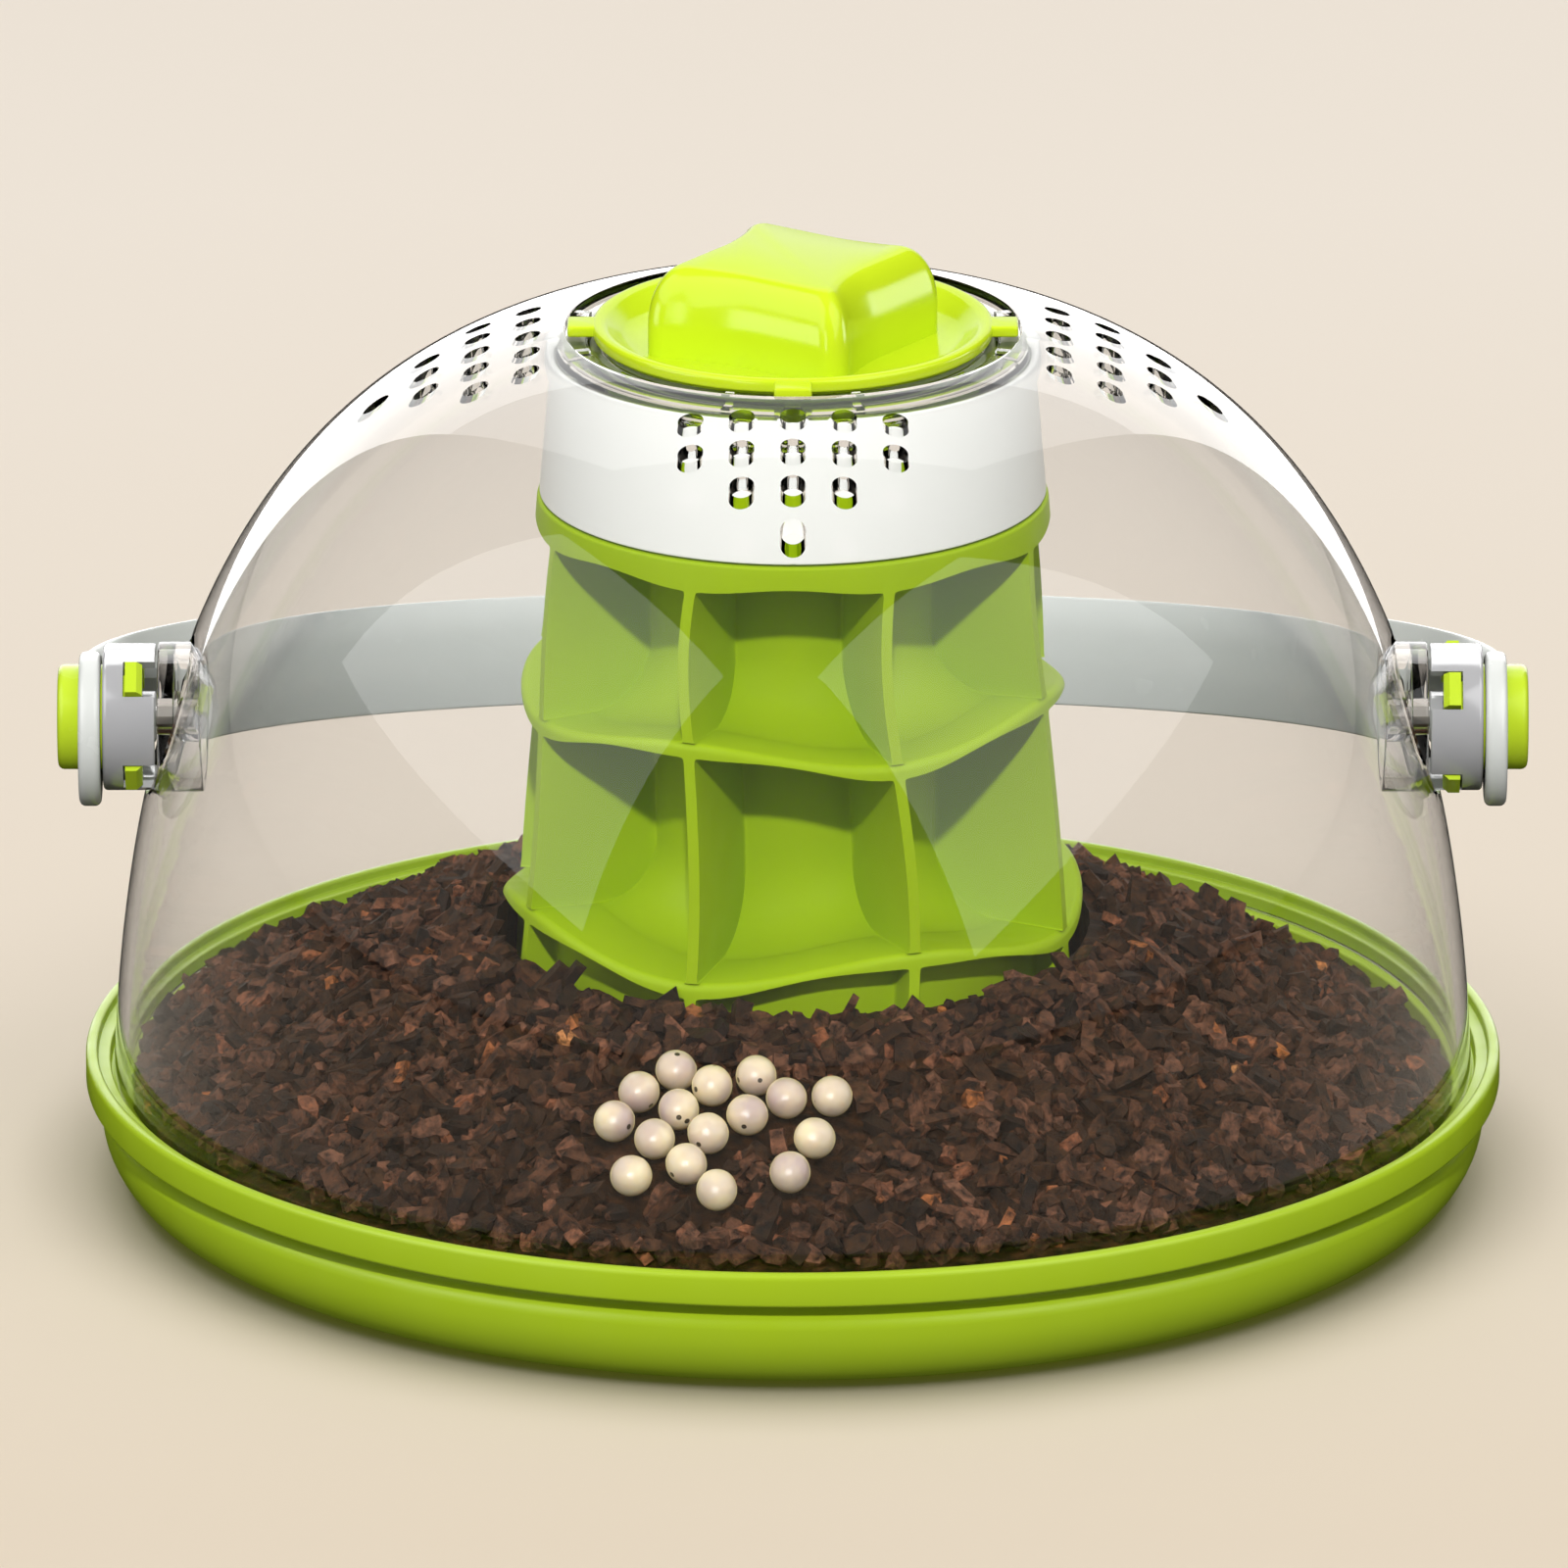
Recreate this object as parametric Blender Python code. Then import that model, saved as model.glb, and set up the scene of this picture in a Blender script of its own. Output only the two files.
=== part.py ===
"""Terrarium: tray, soil bed with eggs, compartment tower, clear vented dome, cap and strap handle.

Metres, +Z up. The origin is the centre of the tray's underside, and -Y is the front.
"""

import math
import random

import bmesh
import bpy
import numpy as np
from mathutils import Matrix, Vector

for old in list(bpy.data.objects):
    bpy.data.objects.remove(old, do_unlink=True)

# Clearances
SEAT_GAP = 0.0003
RUN_GAP = 0.0004

# Tray
TRAY_RADIUS = 0.100
TRAY_HEIGHT = 0.019
TRAY_FLOOR = 0.002
TRAY_WALL = 0.0046
FOOT_RADIUS = 0.088
BOWL_ROUND = 0.010
BAND_HEIGHT = 0.0048
BAND_STEP = 0.0022
RIM_WALL = 0.0017
RIM_ROUND = 0.0007
RIM_STEP = 0.0018
RIM_STEP_DROP = 0.0014
SEAT_DROP = 0.0033
INNER_ROUND = 0.008
RING_WALL = 0.0014
RING_HEIGHT = 0.003

# Dome
DOME_TOP = 0.1246
DOME_WALL = 0.0018
DOME_SIDE_GAP = 0.0005
DOME_RISE = 0.0494
DOME_LEAN = 0.038
DOME_SPREAD = 0.0487
DOME_PITCH = 0.203
VENT_DIAMETER = 0.0036
VENT_PITCH = 0.0071
VENT_START = 0.0372
VENT_ROWS = (5, 5, 3, 1)
NECK_RADIUS = 0.032
STOP_COVER = 0.0005
LEDGE_WIDTH = 0.0048
NECK_SKIRT = 0.0044
STOP_ANGLE = 17.0
STOP_WIDTH = 0.0012
STOP_HEIGHT = 0.0007

# Cap and its seal
FLANGE_OVERLAP = 0.0009
FLANGE_HEIGHT = 0.002
DISH_DEPTH = 0.0032
TAB_COUNT = 4
TAB_WIDTH = 0.0053
TAB_HEIGHT = 0.0016
TAB_RISE = 0.0002
GRIP_HEIGHT = 0.0095
GRIP_POINT = 0.0231
GRIP_POINT_ANGLE = 17.3
GRIP_POINT_REACH = 0.0032
GRIP_VALLEY = 0.0145
GRIP_VALLEY_ANGLE = 41.1
GRIP_VALLEY_REACH = 0.003
GRIP_SHARP_REACH = 0.0004
GRIP_ROUND = 0.003
CAP_WALL = 0.0016
PLUG_DEPTH = 0.0040
SEAL_WIDTH = 0.0014
SEAL_HEIGHT = 0.0018
SEAL_LIP = 0.0008

# Tower and collar
RIB_COUNT = 8
TOWER_WALL = 0.0016
CORE_RADIUS = 0.0215
TOWER_FOOT_RADIUS = 0.0443
TOWER_TOP_RADIUS = 0.0358
LOWER_SHELF = 0.0425
MIDDLE_SHELF = 0.0732
TOWER_TOP = 0.1005
LOWER_WAVE = 0.0021
MIDDLE_WAVE = -0.0016
UPPER_SWAY = -1.8
LOWER_SWAY = 2.4
LOWER_SWAY_SPAN = 0.048
SHELF_LIP = 0.0003
TOP_PLATE = 0.0037
SPIGOT_HEIGHT = 0.0025
COLLAR_WALL = 0.0016
COLLAR_STEP = 0.0003
COLLAR_CLEARANCE = 0.003
COLLAR_HEADROOM = 0.0005

# Soil bed and eggs
SOIL_PEAK = 0.0375
SOIL_EDGE = 0.0175
SOIL_DIPS = ((118.0, 0.006), (-125.0, 0.003))
SOIL_CURVE = 1.2
SOIL_LUMP = 0.0017
SOIL_RINGS = 6
SOIL_SEED = 4
CLUTCH_MARGIN = 0.011
EGG_DIAMETER = 0.0058
# Eggs: distance from the middle of the front, distance in from the bed's front edge
EGG_SPOTS = (
    (-0.0162, 0.0341), (-0.0213, 0.0305), (-0.0247, 0.0253), (-0.0112, 0.0304),
    (-0.0051, 0.0320), (-0.0009, 0.0274), (0.0054, 0.0279), (-0.0158, 0.0262),
    (-0.0191, 0.0209), (-0.0117, 0.0211), (-0.0063, 0.0243), (0.0030, 0.0197),
    (-0.0147, 0.0156), (-0.0004, 0.0133), (-0.0223, 0.0144), (-0.0105, 0.0104),
)

# Handle and its pivots
PIVOT_HEIGHT = 0.0672
HUB_RADIUS = 0.01035
HUB_LENGTH = 0.0074
HUB_WALL = 0.0016
HUB_WEB = 0.0010
SLEEVE_WALL = 0.0017
BOSS_OVERHANG = 0.00025
BOSS_FACE_WALL = 0.0022
BOSS_RIM_WALL = 0.0018
EYE_RADIUS = 0.0109
EYE_DROP = 0.0017
EYE_THICKNESS = 0.0031
EYE_ROUND = 0.0007
STRAP_WIDTH = 0.016
STRAP_THICKNESS = 0.002
STRAP_BULGE = 0.0012
STRAP_EDGE = 0.0005
LEAN_GAP = 0.0004
LEAN_LIMIT = 45.0
LEAN_STEP = 0.05
BUTTON_RADIUS = 0.0074
BUTTON_PROUD = 0.003
BUTTON_WALL = 0.0015
BUTTON_ROUND = 0.0006
BUTTON_TRAVEL = 0.0015
LUG_TURN = 50.0
LUG_WIDTH = 0.005
LUG_LENGTH = 0.0024
LUG_PROUD = 0.0002
SCREW_RADIUS = 0.0015
SCREW_HEAD_RADIUS = 0.0032
SCREW_HEAD = 0.0016
SCREW_BITE = 0.005
WASHER_RADIUS = 0.0039
WASHER_THICKNESS = 0.0005
SPRING_WIRE = 0.0007
SPRING_TURNS = 3.0
SPRING_LEAD = 0.001

# Facets
TRAY_STEPS = 40
DOME_STEPS = 36
DOME_RINGS = 9
TOWER_STEPS = 32
CAP_STEPS = 32
PIVOT_STEPS = 20
STRAP_STEPS = 24
SPRING_STEPS = 9
VENT_SIDES = 8
CURVE_SAMPLES = 400

# Derived places
SEAT_Z = TRAY_HEIGHT - SEAT_DROP
BOWL_RADIUS = TRAY_RADIUS - BAND_STEP
TRAY_INNER = BOWL_RADIUS - TRAY_WALL
RIM_INNER = TRAY_RADIUS - RIM_WALL
SEAT_OUTER = RIM_INNER - RIM_STEP
DOME_RADIUS = SEAT_OUTER - DOME_SIDE_GAP
DOME_FOOT = SEAT_Z + SEAT_GAP
LEDGE_Z = DOME_TOP - STOP_HEIGHT - STOP_COVER
LEDGE_INNER = NECK_RADIUS - LEDGE_WIDTH
NECK_RING_RADIUS = NECK_RADIUS - SEAT_GAP
TOWER_FOOT = TRAY_FLOOR + SEAT_GAP
CORE_INNER = CORE_RADIUS - TOWER_WALL
COLLAR_FOOT_Z = TOWER_TOP + SEAT_GAP
COLLAR_TOP_Z = LEDGE_Z - DOME_WALL - COLLAR_HEADROOM
COLLAR_RADIUS = TOWER_TOP_RADIUS - COLLAR_STEP
COLLAR_TOP_RADIUS = LEDGE_INNER + DOME_WALL + COLLAR_CLEARANCE + COLLAR_WALL


def material(name, colour, roughness, metallic=0.0, alpha=1.0):
    made = bpy.data.materials.new(name)
    made.use_nodes = True
    shader = made.node_tree.nodes["Principled BSDF"]
    shader.inputs["Base Color"].default_value = (*colour, 1.0)
    shader.inputs["Roughness"].default_value = roughness
    shader.inputs["Metallic"].default_value = metallic
    shader.inputs["Alpha"].default_value = alpha
    return made


LIME = (0.45, 0.62, 0.02)
LEAF = (0.36, 0.56, 0.03)
WHITE = (0.80, 0.80, 0.78)
PALE_GREY = (0.60, 0.61, 0.62)
CLEAR = (0.86, 0.88, 0.87)
STEEL = (0.55, 0.56, 0.57)


def arc(centre, across, up, start, end, steps):
    """Points on a quarter or other stretch of an ellipse, angles in degrees."""
    turns = np.radians(np.linspace(start, end, steps + 1))
    return [(centre[0] + across * math.cos(a), centre[1] + up * math.sin(a)) for a in turns]


def spun(profile, steps):
    """A solid turned about Z from (radius, height) points; if it meets the axis, both ends lie on it."""
    bm = bmesh.new()
    verts = [bm.verts.new((radius, 0.0, height)) for radius, height in profile]
    pairs = list(zip(verts, verts[1:]))
    if profile[0][0] > 0.0:
        pairs.append((verts[-1], verts[0]))
    edges = [bm.edges.new(pair) for pair in pairs]
    bmesh.ops.spin(
        bm, geom=verts + edges, cent=(0, 0, 0), axis=(0, 0, 1), angle=math.tau, steps=steps, use_merge=True
    )
    bmesh.ops.remove_doubles(bm, verts=bm.verts, dist=1e-7)
    bmesh.ops.recalc_face_normals(bm, faces=bm.faces)
    return bm


def lofted(rings, bm=None):
    """A closed skin over rings of points, added to bm if one is given."""
    bm = bm or bmesh.new()
    loops = [[bm.verts.new(point) for point in ring] for ring in rings]
    faces = []
    for low, high in zip(loops, loops[1:]):
        for i in range(len(low)):
            j = (i + 1) % len(low)
            faces.append(bm.faces.new((low[i], low[j], high[j], high[i])))
    faces.append(bm.faces.new(list(reversed(loops[0]))))
    faces.append(bm.faces.new(loops[-1]))
    bmesh.ops.recalc_face_normals(bm, faces=faces)
    return bm


def placed(name, bm, finish=None, place=None, parent=None):
    """The bmesh as an object; with no finish it is a tool for a Boolean."""
    mesh = bpy.data.meshes.new(name)
    bm.to_mesh(mesh)
    bm.free()
    mesh.shade_smooth()
    mesh.set_sharp_from_angle(angle=math.radians(35))
    made = bpy.data.objects.new(name, mesh)
    bpy.context.scene.collection.objects.link(made)
    if finish is None:
        made.hide_render = True
        made.display_type = "WIRE"
    else:
        mesh.materials.append(finish)
    made.parent = parent
    made.matrix_local = place or Matrix.Identity(4)
    return made


def boolean(target, tool, operation):
    change = target.modifiers.new(tool.name, "BOOLEAN")
    change.operation = operation
    change.solver = "EXACT"
    change.object = tool


def axis_empty(name, place, parent=None):
    made = bpy.data.objects.new(name, None)
    made.empty_display_size = 0.02
    bpy.context.scene.collection.objects.link(made)
    made.parent = parent
    made.matrix_local = place
    return made


def bearing(x, y):
    """Angle round Z in degrees, from the front towards +X."""
    return math.degrees(math.atan2(x, -y))


def polar(radius, angle, height):
    turn = math.radians(angle)
    return (radius * math.sin(turn), -radius * math.cos(turn), height)


# Dome curve

def dome_curve(points):
    """Outer profile of the dome from its foot to the neck: one cubic curve, with its outward normals."""
    foot = np.array((DOME_RADIUS, DOME_FOOT))
    neck = np.array((NECK_RADIUS, DOME_TOP))
    low = foot + DOME_RISE * np.array((-DOME_LEAN, 1.0))
    high = neck + DOME_SPREAD * np.array((1.0, -DOME_PITCH))
    t = np.linspace(0.0, 1.0, points)[:, None]
    line = (1 - t) ** 3 * foot + 3 * (1 - t) ** 2 * t * low + 3 * (1 - t) * t**2 * high + t**3 * neck
    run = 3 * (1 - t) ** 2 * (low - foot) + 6 * (1 - t) * t * (high - low) + 3 * t**2 * (neck - high)
    normal = np.stack((run[:, 1], -run[:, 0]), axis=1)
    return line, normal / np.linalg.norm(normal, axis=1)[:, None]


def dome_radius(height):
    line, _ = dome_curve(CURVE_SAMPLES)
    return float(np.interp(height, line[:, 1], line[:, 0]))


# Tray

def make_tray():
    band_low = TRAY_HEIGHT - BAND_HEIGHT
    step_z = TRAY_HEIGHT - RIM_STEP_DROP
    ring_outer = CORE_INNER - RUN_GAP
    ring_inner = ring_outer - RING_WALL
    ring_top = TRAY_FLOOR + RING_HEIGHT
    foot_run = BOWL_RADIUS - FOOT_RADIUS
    profile = [(0.0, 0.0)]
    profile += arc((FOOT_RADIUS, BOWL_ROUND), foot_run, BOWL_ROUND, -90, 0, 4)
    profile += [(BOWL_RADIUS, band_low), (TRAY_RADIUS, band_low)]
    profile += arc((TRAY_RADIUS - RIM_ROUND, TRAY_HEIGHT - RIM_ROUND), RIM_ROUND, RIM_ROUND, 0, 90, 1)
    profile += [(RIM_INNER, TRAY_HEIGHT), (RIM_INNER, step_z), (SEAT_OUTER, step_z), (SEAT_OUTER, SEAT_Z)]
    profile += [(TRAY_INNER, SEAT_Z)]
    profile += arc((TRAY_INNER - INNER_ROUND, TRAY_FLOOR + INNER_ROUND), INNER_ROUND, INNER_ROUND, 0, -90, 3)
    profile += [(ring_outer, TRAY_FLOOR), (ring_outer, ring_top), (ring_inner, ring_top)]
    profile += [(ring_inner, TRAY_FLOOR), (0.0, TRAY_FLOOR)]
    placed("base_tray", spun(profile, TRAY_STEPS), material("lime_plastic_tray", LIME, 0.35))


# Dome

def vent_tool():
    """One upright prism per vent: four groups round the neck, rows of a square grid that narrow outwards."""
    bm = bmesh.new()
    low = (DOME_FOOT + DOME_TOP) / 2
    high = DOME_TOP + DOME_WALL
    for group in range(4):
        for row, count in enumerate(VENT_ROWS):
            for place in range(count):
                side = (place - (count - 1) / 2) * VENT_PITCH
                out = VENT_START + row * VENT_PITCH
                spot = Matrix.Rotation(math.radians(90 * group), 4, "Z")
                spot = spot @ Matrix.Translation((side, -out, (low + high) / 2))
                bmesh.ops.create_cone(
                    bm,
                    cap_ends=True,
                    segments=VENT_SIDES,
                    radius1=VENT_DIAMETER / 2,
                    radius2=VENT_DIAMETER / 2,
                    depth=high - low,
                    matrix=spot,
                )
    return placed("vent_tool", bm)


def stop_tool():
    """Low ribs on the neck's ledge, two beside each of the cap's tabs."""
    bm = bmesh.new()
    inner = LEDGE_INNER + LEDGE_WIDTH / 2
    outer = NECK_RING_RADIUS
    low = LEDGE_Z - DOME_WALL / 2
    high = LEDGE_Z + STOP_HEIGHT
    for tab in range(TAB_COUNT):
        for side in (-STOP_ANGLE, STOP_ANGLE):
            turn = Matrix.Rotation(math.radians(360 * tab / TAB_COUNT + side), 4, "Z")
            size = Matrix.Diagonal((STOP_WIDTH, outer - inner, high - low, 1.0))
            shift = Matrix.Translation((0.0, -(inner + outer) / 2, (low + high) / 2))
            bmesh.ops.create_cube(bm, size=1.0, matrix=turn @ shift @ size)
    return placed("stop_tool", bm)


def pivot_hole_tool():
    bm = bmesh.new()
    for side in (-1, 1):
        shift = Matrix.Translation((side * DOME_RADIUS, 0.0, PIVOT_HEIGHT))
        bmesh.ops.create_cone(
            bm,
            cap_ends=True,
            segments=PIVOT_STEPS,
            radius1=BOSS_RADIUS + SEAT_GAP,
            radius2=BOSS_RADIUS + SEAT_GAP,
            depth=DOME_RADIUS,
            matrix=shift @ Matrix.Rotation(math.radians(90), 4, "Y"),
        )
    return placed("pivot_hole_tool", bm)


def make_dome():
    outer, normal = dome_curve(DOME_RINGS)
    fine, fine_normal = dome_curve(CURVE_SAMPLES)
    lining = (fine - fine_normal * DOME_WALL)[::-1]
    neck_outer = NECK_RADIUS + DOME_WALL
    inner = [tuple(point) for point in outer - normal * DOME_WALL if point[0] > neck_outer + DOME_WALL]
    inner[0] = (inner[0][0], DOME_FOOT)
    inner.append((neck_outer, float(np.interp(neck_outer, lining[:, 0], lining[:, 1]))))
    profile = [tuple(point) for point in outer]
    profile += [(NECK_RADIUS, LEDGE_Z - DOME_WALL)]
    profile += reversed(inner)
    dome = placed("dome", spun(profile, DOME_STEPS), material("clear_plastic_dome", CLEAR, 0.05, alpha=0.25))
    boolean(dome, vent_tool(), "DIFFERENCE")
    boolean(dome, pivot_hole_tool(), "DIFFERENCE")


def make_dome_neck():
    """The ring in the dome's opening: a ledge for the cap with a sleeve below it and the stops on it."""
    skirt_outer = LEDGE_INNER + DOME_WALL
    skirt_z = LEDGE_Z - NECK_SKIRT
    under = LEDGE_Z - DOME_WALL
    profile = [(NECK_RING_RADIUS, under), (NECK_RING_RADIUS, LEDGE_Z), (LEDGE_INNER, LEDGE_Z)]
    profile += [(LEDGE_INNER, skirt_z), (skirt_outer, skirt_z), (skirt_outer, under)]
    finish = material("clear_plastic_dome_neck", CLEAR, 0.05, alpha=0.25)
    neck = placed("dome_neck", spun(profile, DOME_STEPS), finish)
    boolean(neck, stop_tool(), "UNION")


# Cap and seal

FLANGE_RADIUS = LEDGE_INNER + FLANGE_OVERLAP
FLANGE_LOW = LEDGE_Z + SEAT_GAP
FLANGE_TOP = FLANGE_LOW + FLANGE_HEIGHT
LIP_RADIUS = LEDGE_INNER - RUN_GAP - SEAL_LIP / 2
PLUG_RADIUS = LEDGE_INNER - SEAT_GAP - SEAL_WIDTH - SEAT_GAP
PLUG_LOW = FLANGE_LOW - PLUG_DEPTH


def grip_ring(inset, height):
    """One outline of the four-pointed grip, drawn in by inset, with rounded points and valleys."""
    corners = []
    for quarter in range(TAB_COUNT):
        corners.append(Vector(polar(GRIP_POINT, GRIP_POINT_ANGLE + 90 * quarter, height)))
        corners.append(Vector(polar(GRIP_VALLEY, GRIP_VALLEY_ANGLE + 90 * quarter, height)))
    ring = []
    for place, corner in enumerate(corners):
        before = (corner - corners[place - 1]).normalized()
        after = (corners[(place + 1) % len(corners)] - corner).normalized()
        share = 1 + before.dot(after)
        inward = Vector((-before.y - after.y, before.x + after.x, 0.0)) / share
        spot = corner + inward * inset
        reach = GRIP_VALLEY_REACH
        if place % 2 == 0:
            reach = max(GRIP_POINT_REACH - inset * before.cross(after).z / share, GRIP_SHARP_REACH)
        ends = (spot - before * reach, spot + after * reach)
        ring += [ends[0], spot / 2 + (ends[0] + ends[1]) / 4, ends[1]]
    return ring


def make_cap():
    rim_inner = FLANGE_RADIUS - CAP_WALL
    plug_inner = PLUG_RADIUS - CAP_WALL
    lip_top = PLUG_LOW + SEAL_LIP
    plate_low = FLANGE_TOP - DISH_DEPTH - CAP_WALL
    profile = [(0.0, plate_low), (plug_inner, plate_low), (plug_inner, PLUG_LOW), (LIP_RADIUS, PLUG_LOW)]
    profile += [(LIP_RADIUS, lip_top), (PLUG_RADIUS, lip_top), (PLUG_RADIUS, FLANGE_LOW)]
    profile += [(FLANGE_RADIUS, FLANGE_LOW)]
    profile += arc((FLANGE_RADIUS - RIM_ROUND, FLANGE_TOP - RIM_ROUND), RIM_ROUND, RIM_ROUND, 0, 90, 1)
    profile += [(rim_inner, FLANGE_TOP), (GRIP_POINT, FLANGE_TOP - DISH_DEPTH), (0.0, FLANGE_TOP - DISH_DEPTH)]
    cap = placed("cap", spun(profile, CAP_STEPS), material("lime_plastic_cap", LIME, 0.3))

    top = FLANGE_TOP + GRIP_HEIGHT
    base = FLANGE_TOP - DISH_DEPTH - CAP_WALL / 2
    rings = [grip_ring(0.0, base), grip_ring(0.0, top - GRIP_ROUND)]
    rounding = arc((0, top - GRIP_ROUND), GRIP_ROUND, GRIP_ROUND, 30, 90, 2)
    rings += [grip_ring(GRIP_ROUND - x, z) for x, z in rounding]
    boolean(cap, placed("grip_tool", lofted(rings)), "UNION")

    reach = NECK_RADIUS - RUN_GAP
    tabs = bmesh.new()
    for tab in range(TAB_COUNT):
        turn = Matrix.Rotation(math.radians(360 * tab / TAB_COUNT), 4, "Z")
        inner = (rim_inner + FLANGE_RADIUS) / 2
        shift = Matrix.Translation((0.0, -(inner + reach) / 2, FLANGE_LOW + TAB_RISE + TAB_HEIGHT / 2))
        size = Matrix.Diagonal((TAB_WIDTH, reach - inner, TAB_HEIGHT, 1.0))
        bmesh.ops.create_cube(tabs, size=1.0, matrix=turn @ shift @ size)
    boolean(cap, placed("tab_tool", tabs), "UNION")

    hollow_top = top - CAP_WALL
    hollow = [grip_ring(CAP_WALL, plate_low - CAP_WALL), grip_ring(CAP_WALL, hollow_top - GRIP_ROUND)]
    hollow += [grip_ring(CAP_WALL + GRIP_ROUND, hollow_top)]
    boolean(cap, placed("grip_hollow_tool", lofted(hollow)), "DIFFERENCE")


def make_cap_seal():
    low = PLUG_LOW + SEAL_LIP + SEAT_GAP
    half = SEAL_WIDTH / 2
    middle = PLUG_RADIUS + SEAT_GAP + half
    profile = arc((middle, low + SEAL_HEIGHT / 2), half, SEAL_HEIGHT / 2, 30, 330, 5)
    placed("cap_seal", spun(profile, PIVOT_STEPS), material("clear_silicone_seal", CLEAR, 0.4))


# Tower

def tower_radius(height):
    share = (height - TOWER_FOOT) / (TOWER_TOP - TOWER_FOOT)
    return TOWER_FOOT_RADIUS + (TOWER_TOP_RADIUS - TOWER_FOOT_RADIUS) * share


def sway(height):
    """Sideways turn of a rib in degrees at a height."""
    if height > MIDDLE_SHELF:
        return UPPER_SWAY * math.sin(math.pi * (height - MIDDLE_SHELF) / (TOWER_TOP - MIDDLE_SHELF))
    return LOWER_SWAY * math.sin(math.pi * (MIDDLE_SHELF - height) / LOWER_SWAY_SPAN)


def waved(height, wave, radius, angle):
    """Height of a shelf that rises and falls once in each pair of compartments, more towards its rim."""
    share = radius / tower_radius(height)
    return height + wave * share * math.sin(math.radians(RIB_COUNT / 2 * angle))


def ribs_tool(name, low, low_wave, high, high_wave, levels=4):
    """The ribs of one tier: thin upright blades from inside the core's wall to the tower's outline."""
    bm = bmesh.new()
    inner = CORE_RADIUS - TOWER_WALL / 2
    for rib in range(RIB_COUNT):
        rings = []
        for level in range(levels + 1):
            share = level / levels
            middle = low + (high - low) * share
            outer = tower_radius(middle)
            angle = 360 * (rib + 0.5) / RIB_COUNT + sway(middle)
            ring = []
            for radius, side in ((inner, -1), (outer, -1), (outer, 1), (inner, 1)):
                bottom = waved(low, low_wave, radius, angle)
                top = waved(high, high_wave, radius, angle)
                turn = angle + math.degrees(side * TOWER_WALL / 2 / radius)
                ring.append(polar(radius, turn, bottom + (top - bottom) * share))
            rings.append(ring)
        lofted(rings, bm)
    return placed(name, bm)


def make_tier(name, low, low_wave, high, high_wave, roof):
    """Core tube, ribs and the shelf on top; roof is the shelf's outline from the core out and back."""
    thickness = high - roof[0][1]
    profile = [(CORE_INNER, low), (CORE_RADIUS, low)] + roof + [(CORE_INNER, high)]
    bm = spun(profile, TOWER_STEPS)
    for vert in bm.verts:
        radius = math.hypot(vert.co.x, vert.co.y)
        angle = bearing(vert.co.x, vert.co.y)
        at_top = vert.co.z > (low + high) / 2
        base, wave = (high, high_wave) if at_top else (low, low_wave)
        vert.co.z += waved(base, wave, radius, angle) - base
    tier = placed(name, bm, material("leaf_plastic_" + name, LEAF, 0.4))
    ribs = ribs_tool(name + "_ribs_tool", low, low_wave, high - thickness / 2, high_wave)
    boolean(tier, ribs, "UNION")


def shelf_roof(height):
    rim = tower_radius(height) + SHELF_LIP
    under = height - TOWER_WALL
    return [(CORE_RADIUS, under), (rim, under), (rim, height)]


def top_roof():
    """The top plate with a spigot for the collar."""
    under = TOWER_TOP - TOP_PLATE
    spigot = COLLAR_RADIUS - COLLAR_WALL - RUN_GAP
    crest = TOWER_TOP + SPIGOT_HEIGHT
    points = [(CORE_RADIUS, under), (TOWER_TOP_RADIUS, under), (TOWER_TOP_RADIUS, TOWER_TOP)]
    points += [(spigot, TOWER_TOP), (spigot, crest), (spigot - TOWER_WALL, crest)]
    points += [(spigot - TOWER_WALL, TOWER_TOP)]
    return points


def make_tower():
    middle_low = LOWER_SHELF + SEAT_GAP
    upper_low = MIDDLE_SHELF + SEAT_GAP
    lower_roof = shelf_roof(LOWER_SHELF)
    middle_roof = shelf_roof(MIDDLE_SHELF)
    make_tier("tower_tier_lower", TOWER_FOOT, 0.0, LOWER_SHELF, LOWER_WAVE, lower_roof)
    make_tier("tower_tier_middle", middle_low, LOWER_WAVE, MIDDLE_SHELF, MIDDLE_WAVE, middle_roof)
    make_tier("tower_tier_upper", upper_low, MIDDLE_WAVE, TOWER_TOP, 0.0, top_roof())


def make_collar():
    profile = [(COLLAR_RADIUS, COLLAR_FOOT_Z), (COLLAR_TOP_RADIUS, COLLAR_TOP_Z)]
    profile += [(COLLAR_TOP_RADIUS - COLLAR_WALL, COLLAR_TOP_Z)]
    profile += [(COLLAR_RADIUS - COLLAR_WALL, COLLAR_FOOT_Z)]
    placed("collar", spun(profile, DOME_STEPS), material("white_plastic_collar", WHITE, 0.35))


# Soil and eggs

SOIL_OUTER = TRAY_INNER - SEAT_GAP
SOIL_FLOOR = TRAY_FLOOR + SEAT_GAP


def tower_side(height):
    """Clear radius round the tower, whose shelf lip is its widest part."""
    return tower_radius(height) + SHELF_LIP + RUN_GAP


SOIL_INNER = tower_side(SOIL_PEAK)


def soil_height(x, y):
    """Top of the bed: heaped up to the tower, lower at the rim on both sides of the back."""
    radius = math.hypot(x, y)
    share = min(max((radius - SOIL_INNER) / (SOIL_OUTER - SOIL_INNER), 0.0), 1.0)
    heap = SOIL_EDGE + (SOIL_PEAK - SOIL_EDGE) * (1 - share**SOIL_CURVE)
    for angle, depth in SOIL_DIPS:
        facing = max(math.cos(math.radians(bearing(x, y) - angle)), 0.0)
        heap -= depth * share * facing**2
    return heap


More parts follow.
